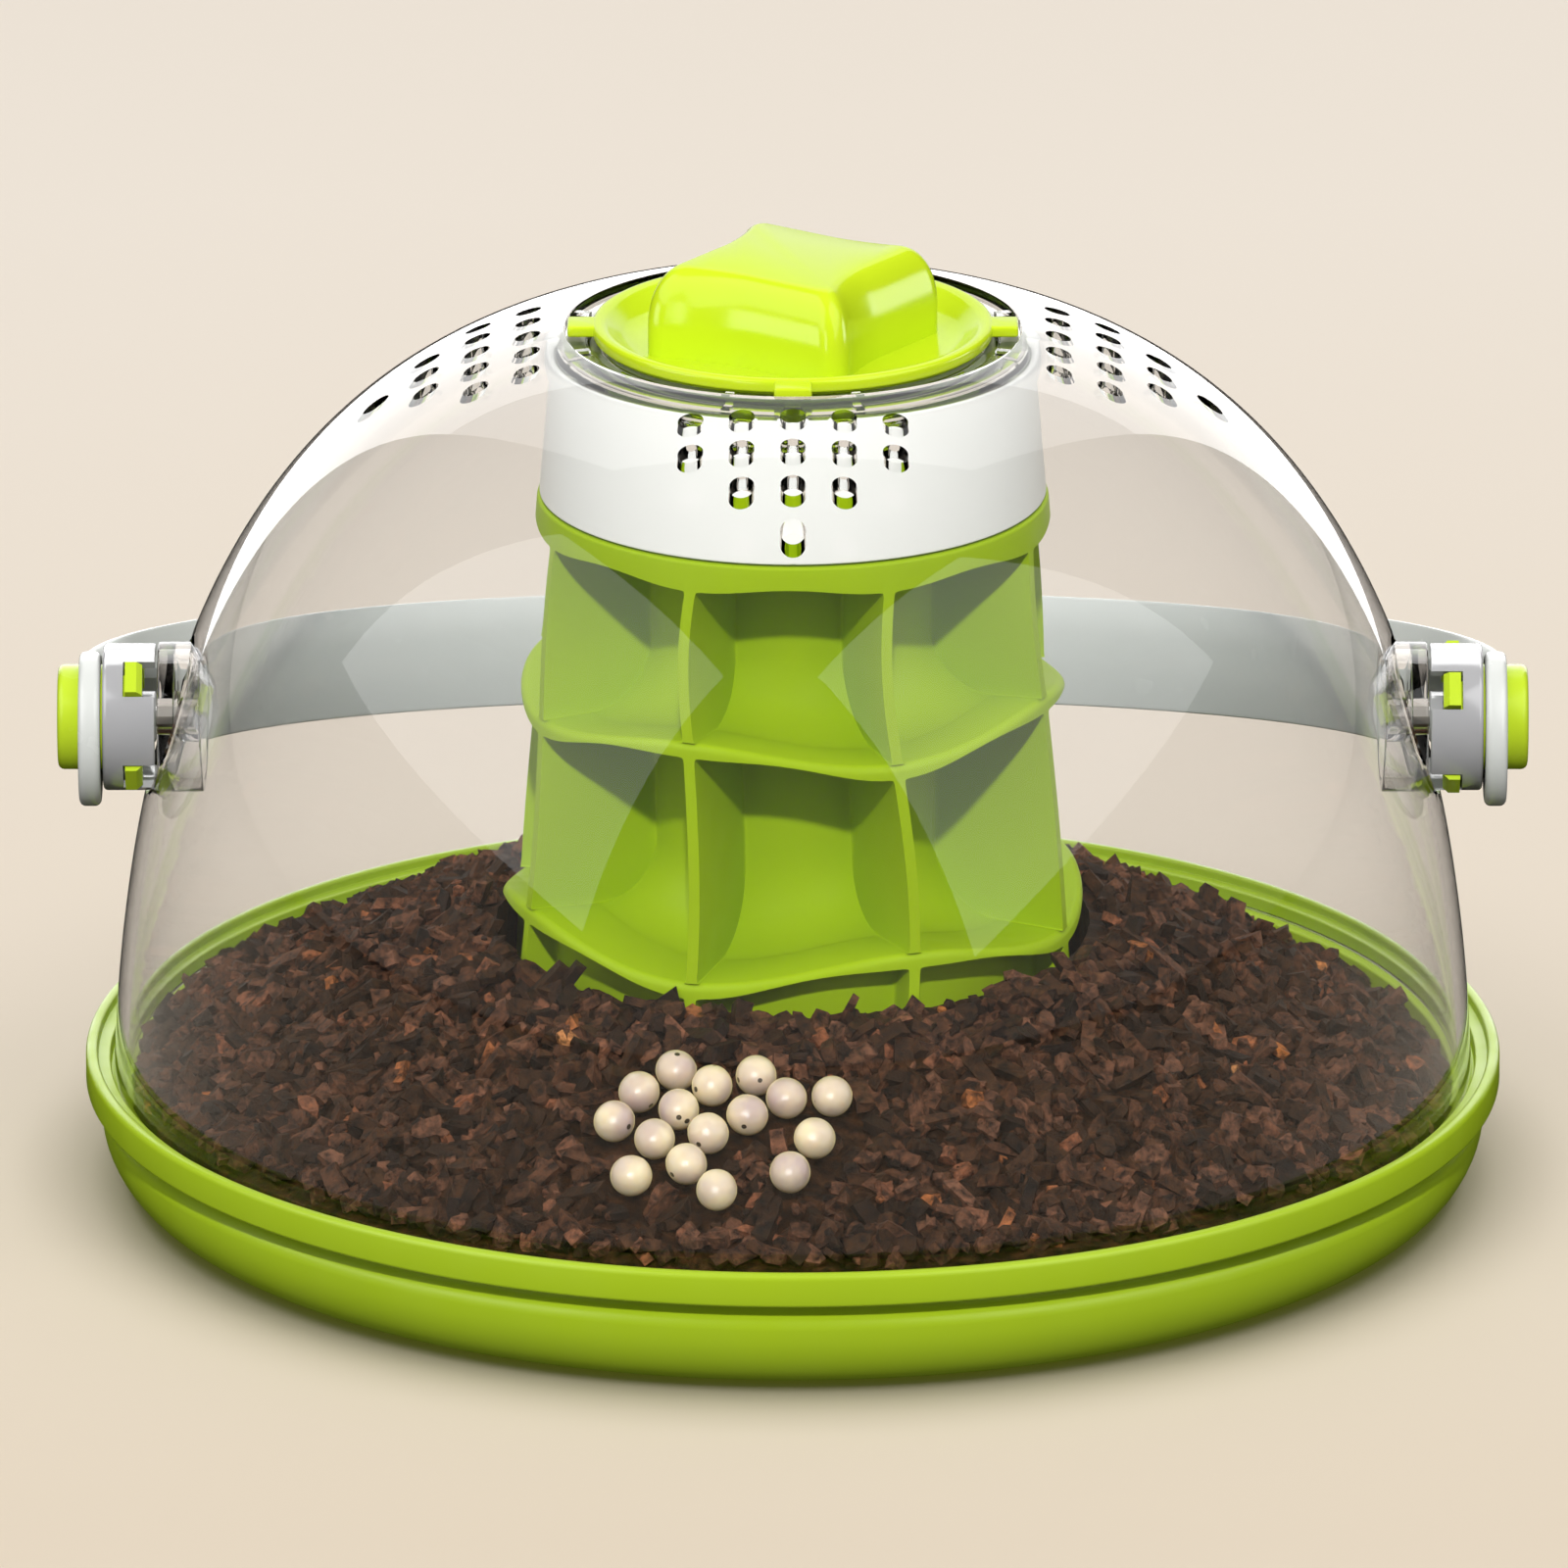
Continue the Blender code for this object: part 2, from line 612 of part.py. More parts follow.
def make_soil():
    rounding = arc((TRAY_INNER - INNER_ROUND, TRAY_FLOOR + INNER_ROUND), INNER_ROUND, INNER_ROUND, -90, 0, 3)
    profile = [(tower_side(SOIL_FLOOR), SOIL_FLOOR)]
    profile += [(radius - SEAT_GAP, height + SEAT_GAP) for radius, height in rounding]
    top_rings = np.linspace(SOIL_OUTER, SOIL_INNER, SOIL_RINGS)
    profile += [(radius, SOIL_PEAK) for radius in top_rings]
    bm = spun(profile, TRAY_STEPS)
    dice = random.Random(SOIL_SEED)
    for vert in bm.verts:
        if vert.co.z > SOIL_PEAK - SEAT_GAP:
            x, y = vert.co.x, vert.co.y
            clutch = min(math.hypot(x - egg_x, y - inset + SOIL_OUTER) for egg_x, inset in EGG_SPOTS)
            lump = dice.uniform(-SOIL_LUMP, SOIL_LUMP) if clutch > CLUTCH_MARGIN else 0.0
            vert.co.z = soil_height(x, y) + lump
    placed("substrate_bed", bm, material("bark_soil", (0.05, 0.025, 0.015), 0.9))


def make_eggs():
    """Eggs resting on the bed's slope, each lifted along the slope's normal by its radius."""
    radius = EGG_DIAMETER / 2
    step = radius / 2
    finish = material("pearly_egg", (0.80, 0.70, 0.58), 0.3)
    for number, (x, inset) in enumerate(EGG_SPOTS, 1):
        y = inset - SOIL_OUTER
        across = (soil_height(x + step, y) - soil_height(x - step, y)) / (2 * step)
        along = (soil_height(x, y + step) - soil_height(x, y - step)) / (2 * step)
        lift = (radius + SEAT_GAP) * math.sqrt(1 + across**2 + along**2)
        bm = bmesh.new()
        bmesh.ops.create_icosphere(bm, subdivisions=2, radius=radius)
        placed(f"egg_{number:02d}", bm, finish, Matrix.Translation((x, y, soil_height(x, y) + lift)))


# Pivots: heights along a pivot run outwards from the hub's inner end

BOSS_RADIUS = HUB_RADIUS + BOSS_OVERHANG
HUB_INNER = HUB_RADIUS - HUB_WALL
PIVOT_FACE = dome_radius(PIVOT_HEIGHT - BOSS_RADIUS) - DOME_WALL
HUB_START = PIVOT_FACE + SEAT_GAP
BOSS_BACK = dome_radius(PIVOT_HEIGHT + BOSS_RADIUS) - DOME_WALL - SEAT_GAP - HUB_START
LUG_LOW = BUTTON_TRAVEL + SEAT_GAP
WEB_LOW = LUG_LOW + LUG_LENGTH + SEAT_GAP
WEB_HIGH = WEB_LOW + HUB_WEB
EYE_LOW = HUB_LENGTH + SEAT_GAP
EYE_HIGH = EYE_LOW + EYE_THICKNESS
EYE_HOLE = BUTTON_RADIUS + RUN_GAP
BUTTON_LOW = WEB_HIGH + BUTTON_TRAVEL + SEAT_GAP
BUTTON_TOP = EYE_HIGH + BUTTON_PROUD
BUTTON_INNER = BUTTON_RADIUS - BUTTON_WALL
ARM_INNER = BUTTON_INNER + SEAT_GAP
WASHER_LOW = WEB_HIGH + SEAT_GAP
HEAD_LOW = WASHER_LOW + WASHER_THICKNESS + SEAT_GAP
SCREW_BORE = SCREW_RADIUS + RUN_GAP
STRAP_RADIUS = HUB_START + (EYE_LOW + EYE_HIGH) / 2 + STRAP_BULGE


def pivot_place(side):
    """Local +Z points outwards along the pivot on this side, from the hub's inner end."""
    return Matrix.Translation((side * HUB_START, 0, 0)) @ Matrix.Rotation(math.radians(90 * side), 4, "Y")


def lug_angles():
    return [LUG_TURN + 90 * quarter for quarter in range(4)]


def blade(bm, outline, width, angle):
    """A flat block with an outline of (radius, height) points, set radially at an angle round the pivot."""
    turn = Matrix.Rotation(math.radians(angle), 4, "Z")
    faces = []
    for side in (-width / 2, width / 2):
        faces.append([turn @ Vector((radius, side, height)) for radius, height in outline])
    lofted(faces, bm)


def make_boss(side, name, parent):
    post = SCREW_BORE + SLEEVE_WALL
    face = -SEAT_GAP
    inside = face - BOSS_FACE_WALL
    bite = face - SCREW_BITE
    post_end = max(BOSS_BACK, bite - BOSS_FACE_WALL / 2)
    rim_inner = BOSS_RADIUS - BOSS_RIM_WALL
    profile = [(0.0, bite), (SCREW_BORE, bite), (SCREW_BORE, face), (BOSS_RADIUS, face)]
    profile += [(BOSS_RADIUS, BOSS_BACK), (rim_inner, BOSS_BACK), (rim_inner, inside), (post, inside)]
    profile += [(post, post_end), (0.0, post_end)]
    bm = spun(profile, PIVOT_STEPS)
    placed(name, bm, material("clear_plastic_" + name, CLEAR, 0.05, alpha=0.3), pivot_place(side), parent)


def make_hub(side, name, parent):
    sleeve = SCREW_BORE + SLEEVE_WALL
    profile = [(SCREW_BORE, 0.0), (sleeve, 0.0), (sleeve, WEB_LOW), (HUB_INNER, WEB_LOW), (HUB_INNER, 0.0)]
    profile += [(HUB_RADIUS, 0.0), (HUB_RADIUS, HUB_LENGTH), (HUB_INNER, HUB_LENGTH), (HUB_INNER, WEB_HIGH)]
    profile += [(SCREW_BORE, WEB_HIGH)]
    finish = material("pale_grey_plastic_" + name, PALE_GREY, 0.4)
    hub = placed(name, spun(profile, PIVOT_STEPS), finish, pivot_place(side), parent)
    notches = bmesh.new()
    slot = BUTTON_RADIUS + RUN_GAP
    inner = ARM_INNER - RUN_GAP
    past = HUB_RADIUS + HUB_WALL
    outline = [(inner, -HUB_WEB), (past, -HUB_WEB), (past, WEB_LOW), (slot, WEB_LOW)]
    outline += [(slot, WEB_HIGH + HUB_WEB), (inner, WEB_HIGH + HUB_WEB)]
    for angle in lug_angles():
        blade(notches, outline, LUG_WIDTH + 2 * RUN_GAP, angle)
    boolean(hub, placed(name + "_notch_tool", notches, None, pivot_place(side), parent), "DIFFERENCE")


def make_button(side, name, parent):
    ceiling = BUTTON_TOP - BUTTON_WALL
    profile = [(0.0, ceiling), (BUTTON_INNER, ceiling), (BUTTON_INNER, BUTTON_LOW)]
    profile += [(BUTTON_RADIUS, BUTTON_LOW)]
    edge = (BUTTON_RADIUS - BUTTON_ROUND, BUTTON_TOP - BUTTON_ROUND)
    profile += arc(edge, BUTTON_ROUND, BUTTON_ROUND, 0, 90, 1)
    profile += [(0.0, BUTTON_TOP)]
    finish = material("lime_plastic_" + name, LIME, 0.3)
    button = placed(name, spun(profile, PIVOT_STEPS), finish, pivot_place(side), parent)
    arms = bmesh.new()
    root = BUTTON_LOW + BUTTON_WALL
    outer = (BUTTON_RADIUS + BUTTON_INNER) / 2 + BUTTON_WALL / 4
    tip = HUB_RADIUS + LUG_PROUD
    high = LUG_LOW + LUG_LENGTH
    outline = [(ARM_INNER, LUG_LOW), (tip - LUG_LENGTH / 3, LUG_LOW), (tip, LUG_LOW + LUG_LENGTH / 3)]
    outline += [(tip, high), (outer, high), (outer, root), (ARM_INNER, root)]
    for angle in lug_angles():
        blade(arms, outline, LUG_WIDTH, angle)
    boolean(button, placed(name + "_arm_tool", arms, None, pivot_place(side), parent), "UNION")


def make_screw(side, name, parent):
    tip = -SCREW_BITE
    crown = HEAD_LOW + SCREW_HEAD
    profile = [(0.0, tip), (SCREW_RADIUS, tip), (SCREW_RADIUS, HEAD_LOW), (SCREW_HEAD_RADIUS, HEAD_LOW)]
    profile += [(SCREW_HEAD_RADIUS, (HEAD_LOW + crown) / 2), (SCREW_HEAD_RADIUS / 2, crown), (0.0, crown)]
    bm = spun(profile, PIVOT_STEPS // 2)
    placed(name, bm, material("steel_" + name, STEEL, 0.3, 1.0), pivot_place(side), parent)


def make_washer(side, name, parent):
    high = WASHER_LOW + WASHER_THICKNESS
    profile = [(SCREW_BORE, WASHER_LOW), (WASHER_RADIUS, WASHER_LOW), (WASHER_RADIUS, high)]
    profile += [(SCREW_BORE, high)]
    bm = spun(profile, PIVOT_STEPS)
    placed(name, bm, material("steel_" + name, STEEL, 0.3, 1.0), pivot_place(side), parent)


def make_spring(side, name, parent):
    """A round-wire spring between the hub's web and the button's ceiling: one tube with straight ends."""
    low = WEB_HIGH + SEAT_GAP + SPRING_WIRE / 2
    high = BUTTON_TOP - BUTTON_WALL - SEAT_GAP - SPRING_WIRE / 2
    mean = BUTTON_INNER - SEAT_GAP - SPRING_WIRE
    count = int(SPRING_TURNS * SPRING_STEPS) + 1
    turns = np.linspace(0.0, SPRING_TURNS * math.tau, count)
    points = [(mean * math.cos(a), mean * math.sin(a), low + (high - low) * a / turns[-1]) for a in turns]
    for end, along in ((0, -SPRING_LEAD), (-1, SPRING_LEAD)):
        x, y, z = points[end]
        lead = (x - along * math.sin(turns[end]), y + along * math.cos(turns[end]), z)
        points = [lead] + points if end == 0 else points + [lead]
    coil = np.array(points)
    apart = np.linalg.norm(coil[:, None] - coil[None], axis=2)
    order = np.abs(np.arange(len(coil))[:, None] - np.arange(len(coil))[None])
    least = apart[order > SPRING_STEPS // 2].min() - SPRING_WIRE
    print(name, "least gap to itself in mm:", round(least * 1000, 2))
    curve = bpy.data.curves.new(name, "CURVE")
    curve.dimensions = "3D"
    curve.bevel_depth = SPRING_WIRE / 2
    curve.bevel_resolution = 1
    curve.use_fill_caps = True
    line = curve.splines.new("POLY")
    line.points.add(len(points) - 1)
    for spot, point in zip(line.points, points):
        spot.co = (*point, 1.0)
    curve.materials.append(material("steel_" + name, STEEL, 0.3, 1.0))
    made = bpy.data.objects.new(name, curve)
    bpy.context.scene.collection.objects.link(made)
    made.parent = parent
    made.matrix_local = pivot_place(side)


# Handle

def lean_angle():
    """Turn below level, in degrees, at which the strap's lower inner edge leans on the back of the dome."""
    reach = STRAP_RADIUS - STRAP_THICKNESS / 2
    half = STRAP_WIDTH / 2
    for lean in np.arange(0.0, LEAN_LIMIT, LEAN_STEP):
        turn = math.radians(lean)
        out = reach * math.cos(turn) - half * math.sin(turn)
        height = PIVOT_HEIGHT - reach * math.sin(turn) - half * math.cos(turn)
        if height < DOME_FOOT or out < dome_radius(height) + LEAN_GAP:
            return float(lean)
    return LEAN_LIMIT


def make_strap(parent):
    """A flat band on a half circle between two eyes whose rims are wider below the pivot."""
    start = math.asin((EYE_HOLE + EYE_RADIUS) / 2 / STRAP_RADIUS)
    half_t = STRAP_THICKNESS / 2
    half_w = STRAP_WIDTH / 2
    section = [(half_t, half_w - STRAP_EDGE), (half_t - STRAP_EDGE, half_w), (STRAP_EDGE - half_t, half_w)]
    section += [(-half_t, half_w - STRAP_EDGE)]
    section += [(-t, -w) for t, w in section]
    rings = []
    for turn in np.linspace(start, math.pi - start, STRAP_STEPS + 1):
        around = Matrix.Rotation(turn, 3, "Z")
        rings.append([around @ Vector((STRAP_RADIUS + t, 0.0, w)) for t, w in section])
    strap = placed("handle_strap", lofted(rings), material("pale_grey_plastic_strap", PALE_GREY, 0.4), None, parent)
    corner = EYE_RADIUS - EYE_ROUND
    profile = [(EYE_HOLE, EYE_LOW)]
    profile += arc((corner, EYE_LOW + EYE_ROUND), EYE_ROUND, EYE_ROUND, -90, 0, 1)
    profile += arc((corner, EYE_HIGH - EYE_ROUND), EYE_ROUND, EYE_ROUND, 0, 90, 1)
    profile += [(EYE_HOLE, EYE_HIGH)]
    for side, word in ((-1, "left"), (1, "right")):
        ring = spun(profile, PIVOT_STEPS)
        for vert in ring.verts:
            if vert.co.xy.length > EYE_HOLE + RUN_GAP:
                vert.co.x += side * EYE_DROP
        eye = placed("eye_tool_" + word, ring, None, pivot_place(side), parent)
        boolean(strap, eye, "UNION")


def make_handle():
    lean = lean_angle()
    level = axis_empty("pivot_axis", Matrix.Translation((0, 0, PIVOT_HEIGHT)))
    swing = axis_empty("handle_axis", Matrix.Rotation(math.radians(-lean), 4, "X"), level)
    make_strap(swing)
    for side, word in ((-1, "left"), (1, "right")):
        make_boss(side, "pivot_boss_" + word, level)
        make_screw(side, "pivot_screw_" + word, level)
        make_washer(side, "pivot_washer_" + word, level)
        make_hub(side, "hub_" + word, level)
        make_button(side, "button_" + word, level)
        make_spring(side, "button_spring_" + word, level)
    print("handle leans", round(lean, 2), "degrees below level")


make_tray()
make_dome()
make_dome_neck()
make_cap()
make_cap_seal()
make_tower()
make_collar()
make_soil()
make_eggs()
make_handle()
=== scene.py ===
# %% [markdown]
# # A terrarium under a clear dome
# The real thing is a round green tray with bark and eggs in it, a tower of open compartments, a clear dome
# with vents, a twist cap, and a pale grey strap that swings on two push-button pivots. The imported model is
# loaded first, because it holds the true sizes and the bodies that move. Each visible piece is then modelled
# again, more finely, in the same place.

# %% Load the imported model
import math
import random

import bpy
import numpy as np
from mathutils import Matrix, Vector


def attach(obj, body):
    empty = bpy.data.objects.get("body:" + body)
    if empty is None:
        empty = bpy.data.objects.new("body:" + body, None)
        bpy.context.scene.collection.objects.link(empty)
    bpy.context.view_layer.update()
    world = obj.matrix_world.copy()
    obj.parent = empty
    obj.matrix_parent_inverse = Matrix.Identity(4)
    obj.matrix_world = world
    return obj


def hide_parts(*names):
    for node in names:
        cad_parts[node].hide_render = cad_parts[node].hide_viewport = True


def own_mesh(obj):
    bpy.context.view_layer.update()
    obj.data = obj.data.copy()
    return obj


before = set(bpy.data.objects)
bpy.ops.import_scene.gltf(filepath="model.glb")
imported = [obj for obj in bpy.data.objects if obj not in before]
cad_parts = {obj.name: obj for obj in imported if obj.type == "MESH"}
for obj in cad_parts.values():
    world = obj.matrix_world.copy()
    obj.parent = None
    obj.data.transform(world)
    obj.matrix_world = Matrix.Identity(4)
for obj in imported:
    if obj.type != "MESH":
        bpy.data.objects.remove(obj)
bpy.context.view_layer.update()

MM = 0.001

# %% [markdown]
# ## Camera
# The photograph was taken from the front and a little above, from far away with a long lens, so that upright
# edges stay upright. A camera could be matched by eye, but here it was fitted to the tray's and the dome's
# outlines, which are circles on the real object, and the result is written down as four numbers.

# %% Camera
ELEVATION = math.radians(18.3155)
DISTANCE = 3.5
AIM = Vector((-1.24, 0.0, 57.2)) * MM

bpy.ops.object.select_all(action="DESELECT")
bpy.ops.object.camera_add(
    location=AIM + DISTANCE * Vector((0.0, -math.cos(ELEVATION), math.sin(ELEVATION))),
    rotation=(math.radians(90) - ELEVATION, 0.0, 0.0),
)
camera = bpy.context.object
camera.data.lens = 569.8
camera.data.sensor_width = 36.0
bpy.context.scene.camera = camera
bpy.context.scene.view_settings.view_transform = "Standard"
print("camera at", [round(value, 3) for value in camera.location])

# %% [markdown]
# ## Colour and node helpers
# Colours are written as the hex values that a picture editor shows. Blender's sockets want linear light, so one
# function converts them. A second small function adds a shader node, sets it up and links it in one line, which
# keeps every material short enough to read.

# %% Colour and node helpers
def linear(code):
    """Linear RGBA of an sRGB hex colour such as '#A9C426'."""
    parts = [int(code[place:place + 2], 16) / 255 for place in (1, 3, 5)]
    return [part / 12.92 if part < 0.04045 else ((part + 0.055) / 1.055) ** 2.4 for part in parts] + [1.0]


def add(tree, kind, inputs=None, **settings):
    """Add a node; inputs maps a socket's name or number to a value or to the output that feeds it."""
    made = tree.nodes.new(kind)
    for name, value in settings.items():
        setattr(made, name, value)
    for socket, value in (inputs or {}).items():
        if isinstance(value, bpy.types.NodeSocket):
            tree.links.new(value, made.inputs[socket])
        else:
            made.inputs[socket].default_value = value
    return made


def blank(name):
    """A new material with an empty node tree."""
    made = bpy.data.materials.new(name)
    made.use_nodes = True
    made.node_tree.nodes.clear()
    return made, made.node_tree


print("mid grey in linear light:", round(linear("#808080")[0], 3))

# %% [markdown]
# ## Floor and world
# The object stands on a sheet of warm, pale paper. Its colour is painted lighter towards the back, a painted light
# falloff. A plane is enough for that, with a faint cloudiness so that it isn't one flat colour. It stays out of
# reflections and throws no light back, because lamps of their own do that. The world shows the same paper colour
# to the camera and through the clear dome, but gives the object only a weak, even fill.

# %% Floor and world
PAPER = "#EBE0D2"
PAPER_CLOUD = 140 * MM
# Where the painted light falloff on the paper starts and ends, in metres along Y.
PAINTED_FALLOFF_FRONT, PAINTED_FALLOFF_BACK = -0.15, 0.50

bpy.ops.object.select_all(action="DESELECT")
bpy.ops.mesh.primitive_plane_add(size=14.0, location=(0.0, 0.0, -0.05 * MM))
floor = bpy.context.object
floor.name = "paper_floor"
floor.visible_glossy = floor.visible_diffuse = False

paper, tree = blank("matte_paper")
place = add(tree, "ShaderNodeTexCoord")
cloud = add(tree, "ShaderNodeTexNoise", {"Vector": place.outputs["Object"], "Scale": 1 / PAPER_CLOUD})
spot = add(tree, "ShaderNodeSeparateXYZ", {0: place.outputs["Object"]})
# Painted light: the paper's colour runs from the darker tone in front to the lighter tone at the back.
depth = add(tree, "ShaderNodeMapRange", {"Value": spot.outputs["Y"], "From Min": PAINTED_FALLOFF_FRONT,
                                         "From Max": PAINTED_FALLOFF_BACK})
uneven = add(tree, "ShaderNodeMath", {0: cloud.outputs["Fac"], 1: 0.12, 2: depth.outputs[0]},
             operation="MULTIPLY_ADD")
tone = add(tree, "ShaderNodeMix", {0: uneven.outputs[0], 6: linear("#E2D3BE"), 7: linear("#EEE4D7")},
           data_type="RGBA")
sheet = add(tree, "ShaderNodeBsdfPrincipled", {"Base Color": tone.outputs[2], "Roughness": 0.95,
                                               "Specular IOR Level": 0.1})
add(tree, "ShaderNodeOutputMaterial", {"Surface": sheet.outputs["BSDF"]})
floor.data.materials.append(paper)

AMBIENT = 0.13
world = bpy.data.worlds.new("studio")
bpy.context.scene.world = world
world.use_nodes = True
tree = world.node_tree
tree.nodes.clear()
rays = add(tree, "ShaderNodeLightPath")
seen = add(tree, "ShaderNodeMath", {0: rays.outputs["Is Camera Ray"], 1: rays.outputs["Is Transmission Ray"]},
           operation="MAXIMUM")
even = add(tree, "ShaderNodeMath", {0: rays.outputs["Is Diffuse Ray"], 1: AMBIENT}, operation="MULTIPLY")
fill = add(tree, "ShaderNodeBackground", {"Color": linear("#FFFBF5"), "Strength": even.outputs[0]})
backdrop = add(tree, "ShaderNodeBackground", {"Color": linear(PAPER), "Strength": 1.0})
both = add(tree, "ShaderNodeMixShader", {0: seen.outputs[0], 1: fill.outputs[0], 2: backdrop.outputs[0]})
add(tree, "ShaderNodeOutputWorld", {"Surface": both.outputs[0]})
print("floor and world in", PAPER)

# %% [markdown]
# ## Softboxes
# The photograph's dome shows two large softboxes, one at each side, whose corners meet near the middle. Their
# places were worked back from those reflections: each is a rectangle given by one corner and two edges. Two panels
# behind the object whiten the dome's far wall and the tops. An area lamp's face has the brightness
# power / (pi x area), so the power is worked out from the brightness that is wanted. These four show in
# reflections and light nothing else, so that gloss and shading can be set apart from each other.

# %% Softboxes
def softbox(name, corner, along, down, brightness):
    """A rectangular area lamp that faces the object; brightness is that of its face, 1 being paper white."""
    corner, along, down = Vector(corner), Vector(along), Vector(down)
    middle = corner + (along + down) / 2
    if along.cross(down).dot(middle) < 0:
        along, down = down, along
    axes = (along.normalized(), down.normalized(), along.cross(down).normalized())
    bpy.ops.object.select_all(action="DESELECT")
    bpy.ops.object.light_add(type="AREA", location=middle, rotation=Matrix(axes).transposed().to_euler())
    lamp = bpy.context.object
    lamp.name = name
    lamp.data.shape = "RECTANGLE"
    lamp.data.size = along.length
    lamp.data.size_y = down.length
    lamp.data.energy = brightness * math.pi * along.length * down.length
    lamp.visible_camera = False
    lamp.visible_transmission = False
    print(name, "power in W:", round(lamp.data.energy, 2))
    return lamp


BACK_PANEL = ((-1.02, 1.9, -0.2), (2.04, 0.0, 0.0), (0.0, -0.28, 1.45))

left = softbox("softbox_left", (-0.285, -0.875, 1.185), (-0.518, 1.062, 0.248), (-0.285, 0.086, -0.964), 2.7)
right = softbox("softbox_right", (0.104, -0.899, 1.197), (0.520, 0.792, 0.313), (0.291, 0.219, -1.036), 2.7)
back = softbox("back_panel", *BACK_PANEL, 3.0)
above = softbox("back_panel_above", (-1.02, 1.62, 1.25), (2.04, 0.0, 0.0), (0.0, -0.32, 1.65), 1.6)
for lamp in (left, right, back, above):
    lamp.visible_diffuse = False

# %% [markdown]
# ## Lamps that light the surfaces
# The sharp shadows in the compartments lie evenly on both sides, so the key light is a sun lamp straight in front
# and 38 degrees up. Two very soft suns fill from the sides, a wide ceiling lamp lights the tops, and a lamp of its
# own lights the paper. A weak, wide sun from below stands for the light that the paper throws back at the tray.
# None of these shows in reflections.

# %% Lamps that light the surfaces
def sun(name, up, across, strength, spread):
    """A sun lamp from a height and a side, in degrees; it lights but doesn't show in reflections."""
    bpy.ops.object.select_all(action="DESELECT")
    bpy.ops.object.light_add(type="SUN", rotation=(math.radians(90 - up), 0.0, math.radians(across)))
    lamp = bpy.context.object
    lamp.name = name
    lamp.data.energy = strength * math.pi
    lamp.data.angle = math.radians(spread)
    lamp.visible_camera = lamp.visible_transmission = False
    print(name, "strength:", round(lamp.data.energy, 2))
    return lamp


ceiling = softbox("ceiling", (-3.0, -1.2, 3.0), (6.0, 0.0, 0.0), (0.0, 5.0, 0.0), 1.0)
paper_lamp = softbox("paper_lamp", (-1.8, -3.0, 3.0), (3.6, 0.0, 0.0), (0.0, 4.9, 0.0), 2.41)
key = sun("key", 38, 0, 0.83, 2.5)
fill_left = sun("fill_left", 28, -58, 0.34, 70)
fill_right = sun("fill_right", 28, 58, 0.26, 70)
bounce = sun("paper_bounce", -90, 0, 0.13, 150)
for lamp in (ceiling, paper_lamp, key, fill_left, fill_right, bounce):
    lamp.visible_glossy = False

# %% [markdown]
# ## Lamps for single pieces
# In the photograph the cap, the hubs and the eggs mirror small bright things that the dome doesn't show. Moving
# the large softboxes would change the dome too, so these pieces get lamps of their own. Light linking does that: a
# lamp's receiver collection names the pieces that it lights, or the ones that it leaves out.

# %% Lamps for single pieces
cap_back = softbox("cap_panel_back", *BACK_PANEL, 1.1)
cap_left = softbox("cap_softbox_left", (-0.41, -0.287, 0.026), (-0.088, 0.243, 0.0), (0.0, 0.0, 0.165), 5.0)
cap_front = softbox("cap_softbox_front", (-0.171, -0.47, 0.037), (-0.094, 0.046, 0.0), (0.0, 0.0, 0.19), 5.0)
cap_right = softbox("cap_softbox_right", (0.498, 0.044, 0.051), (-0.053, 0.183, 0.0), (0.0, 0.0, 0.14), 5.0)
hub_panel = softbox("hub_panel", (-1.5, 1.5, 1.1), (3.0, 0.0, 0.0), (0.0, -0.9, 0.8), 6.0)
sparkle = softbox("egg_softbox", (-0.38, -0.85, 0.14), (0.5, 0.0, 0.0), (0.0, 0.1, 0.42), 6.0)
for lamp in (cap_back, cap_left, cap_front, cap_right, hub_panel, sparkle):
    lamp.visible_diffuse = False
# The dome bends the rays that an egg mirrors past this lamp, so it is sampled directly and in no other way.
sparkle.data.cycles.use_multiple_importance_sampling = False


def lit(lamp, pieces, state):
    """Let a lamp light only these pieces (INCLUDE) or all but these (EXCLUDE)."""
    group = bpy.data.collections.new("lit_by_" + lamp.name)
    for piece in pieces:
        group.objects.link(piece)
    lamp.light_linking.receiver_collection = group
    for entry in group.collection_objects:
        entry.light_linking.link_state = state
    return group


for lamp in (ceiling, key, fill_left, fill_right):
    lit(lamp, [floor], "EXCLUDE")
lit(paper_lamp, [floor], "INCLUDE")

# %% [markdown]
# ## Moulded plastic
# Tray, tower, cap and buttons are coloured polypropylene, injection moulded: the colour goes right through, the
# surface is satin with soft highlights, and flow in the mould leaves a faint cloudiness. The collar, strap and
# hubs are the same in white and grey. The real grain of the mould is about 0.05 mm, too fine to show here, so it
# is drawn at 0.3 mm. Gloss varies a little over a few millimetres, as handling polishes some places.

# %% Moulded plastic
FLOW, POLISH, GRAIN = 22 * MM, 5 * MM, 0.3 * MM


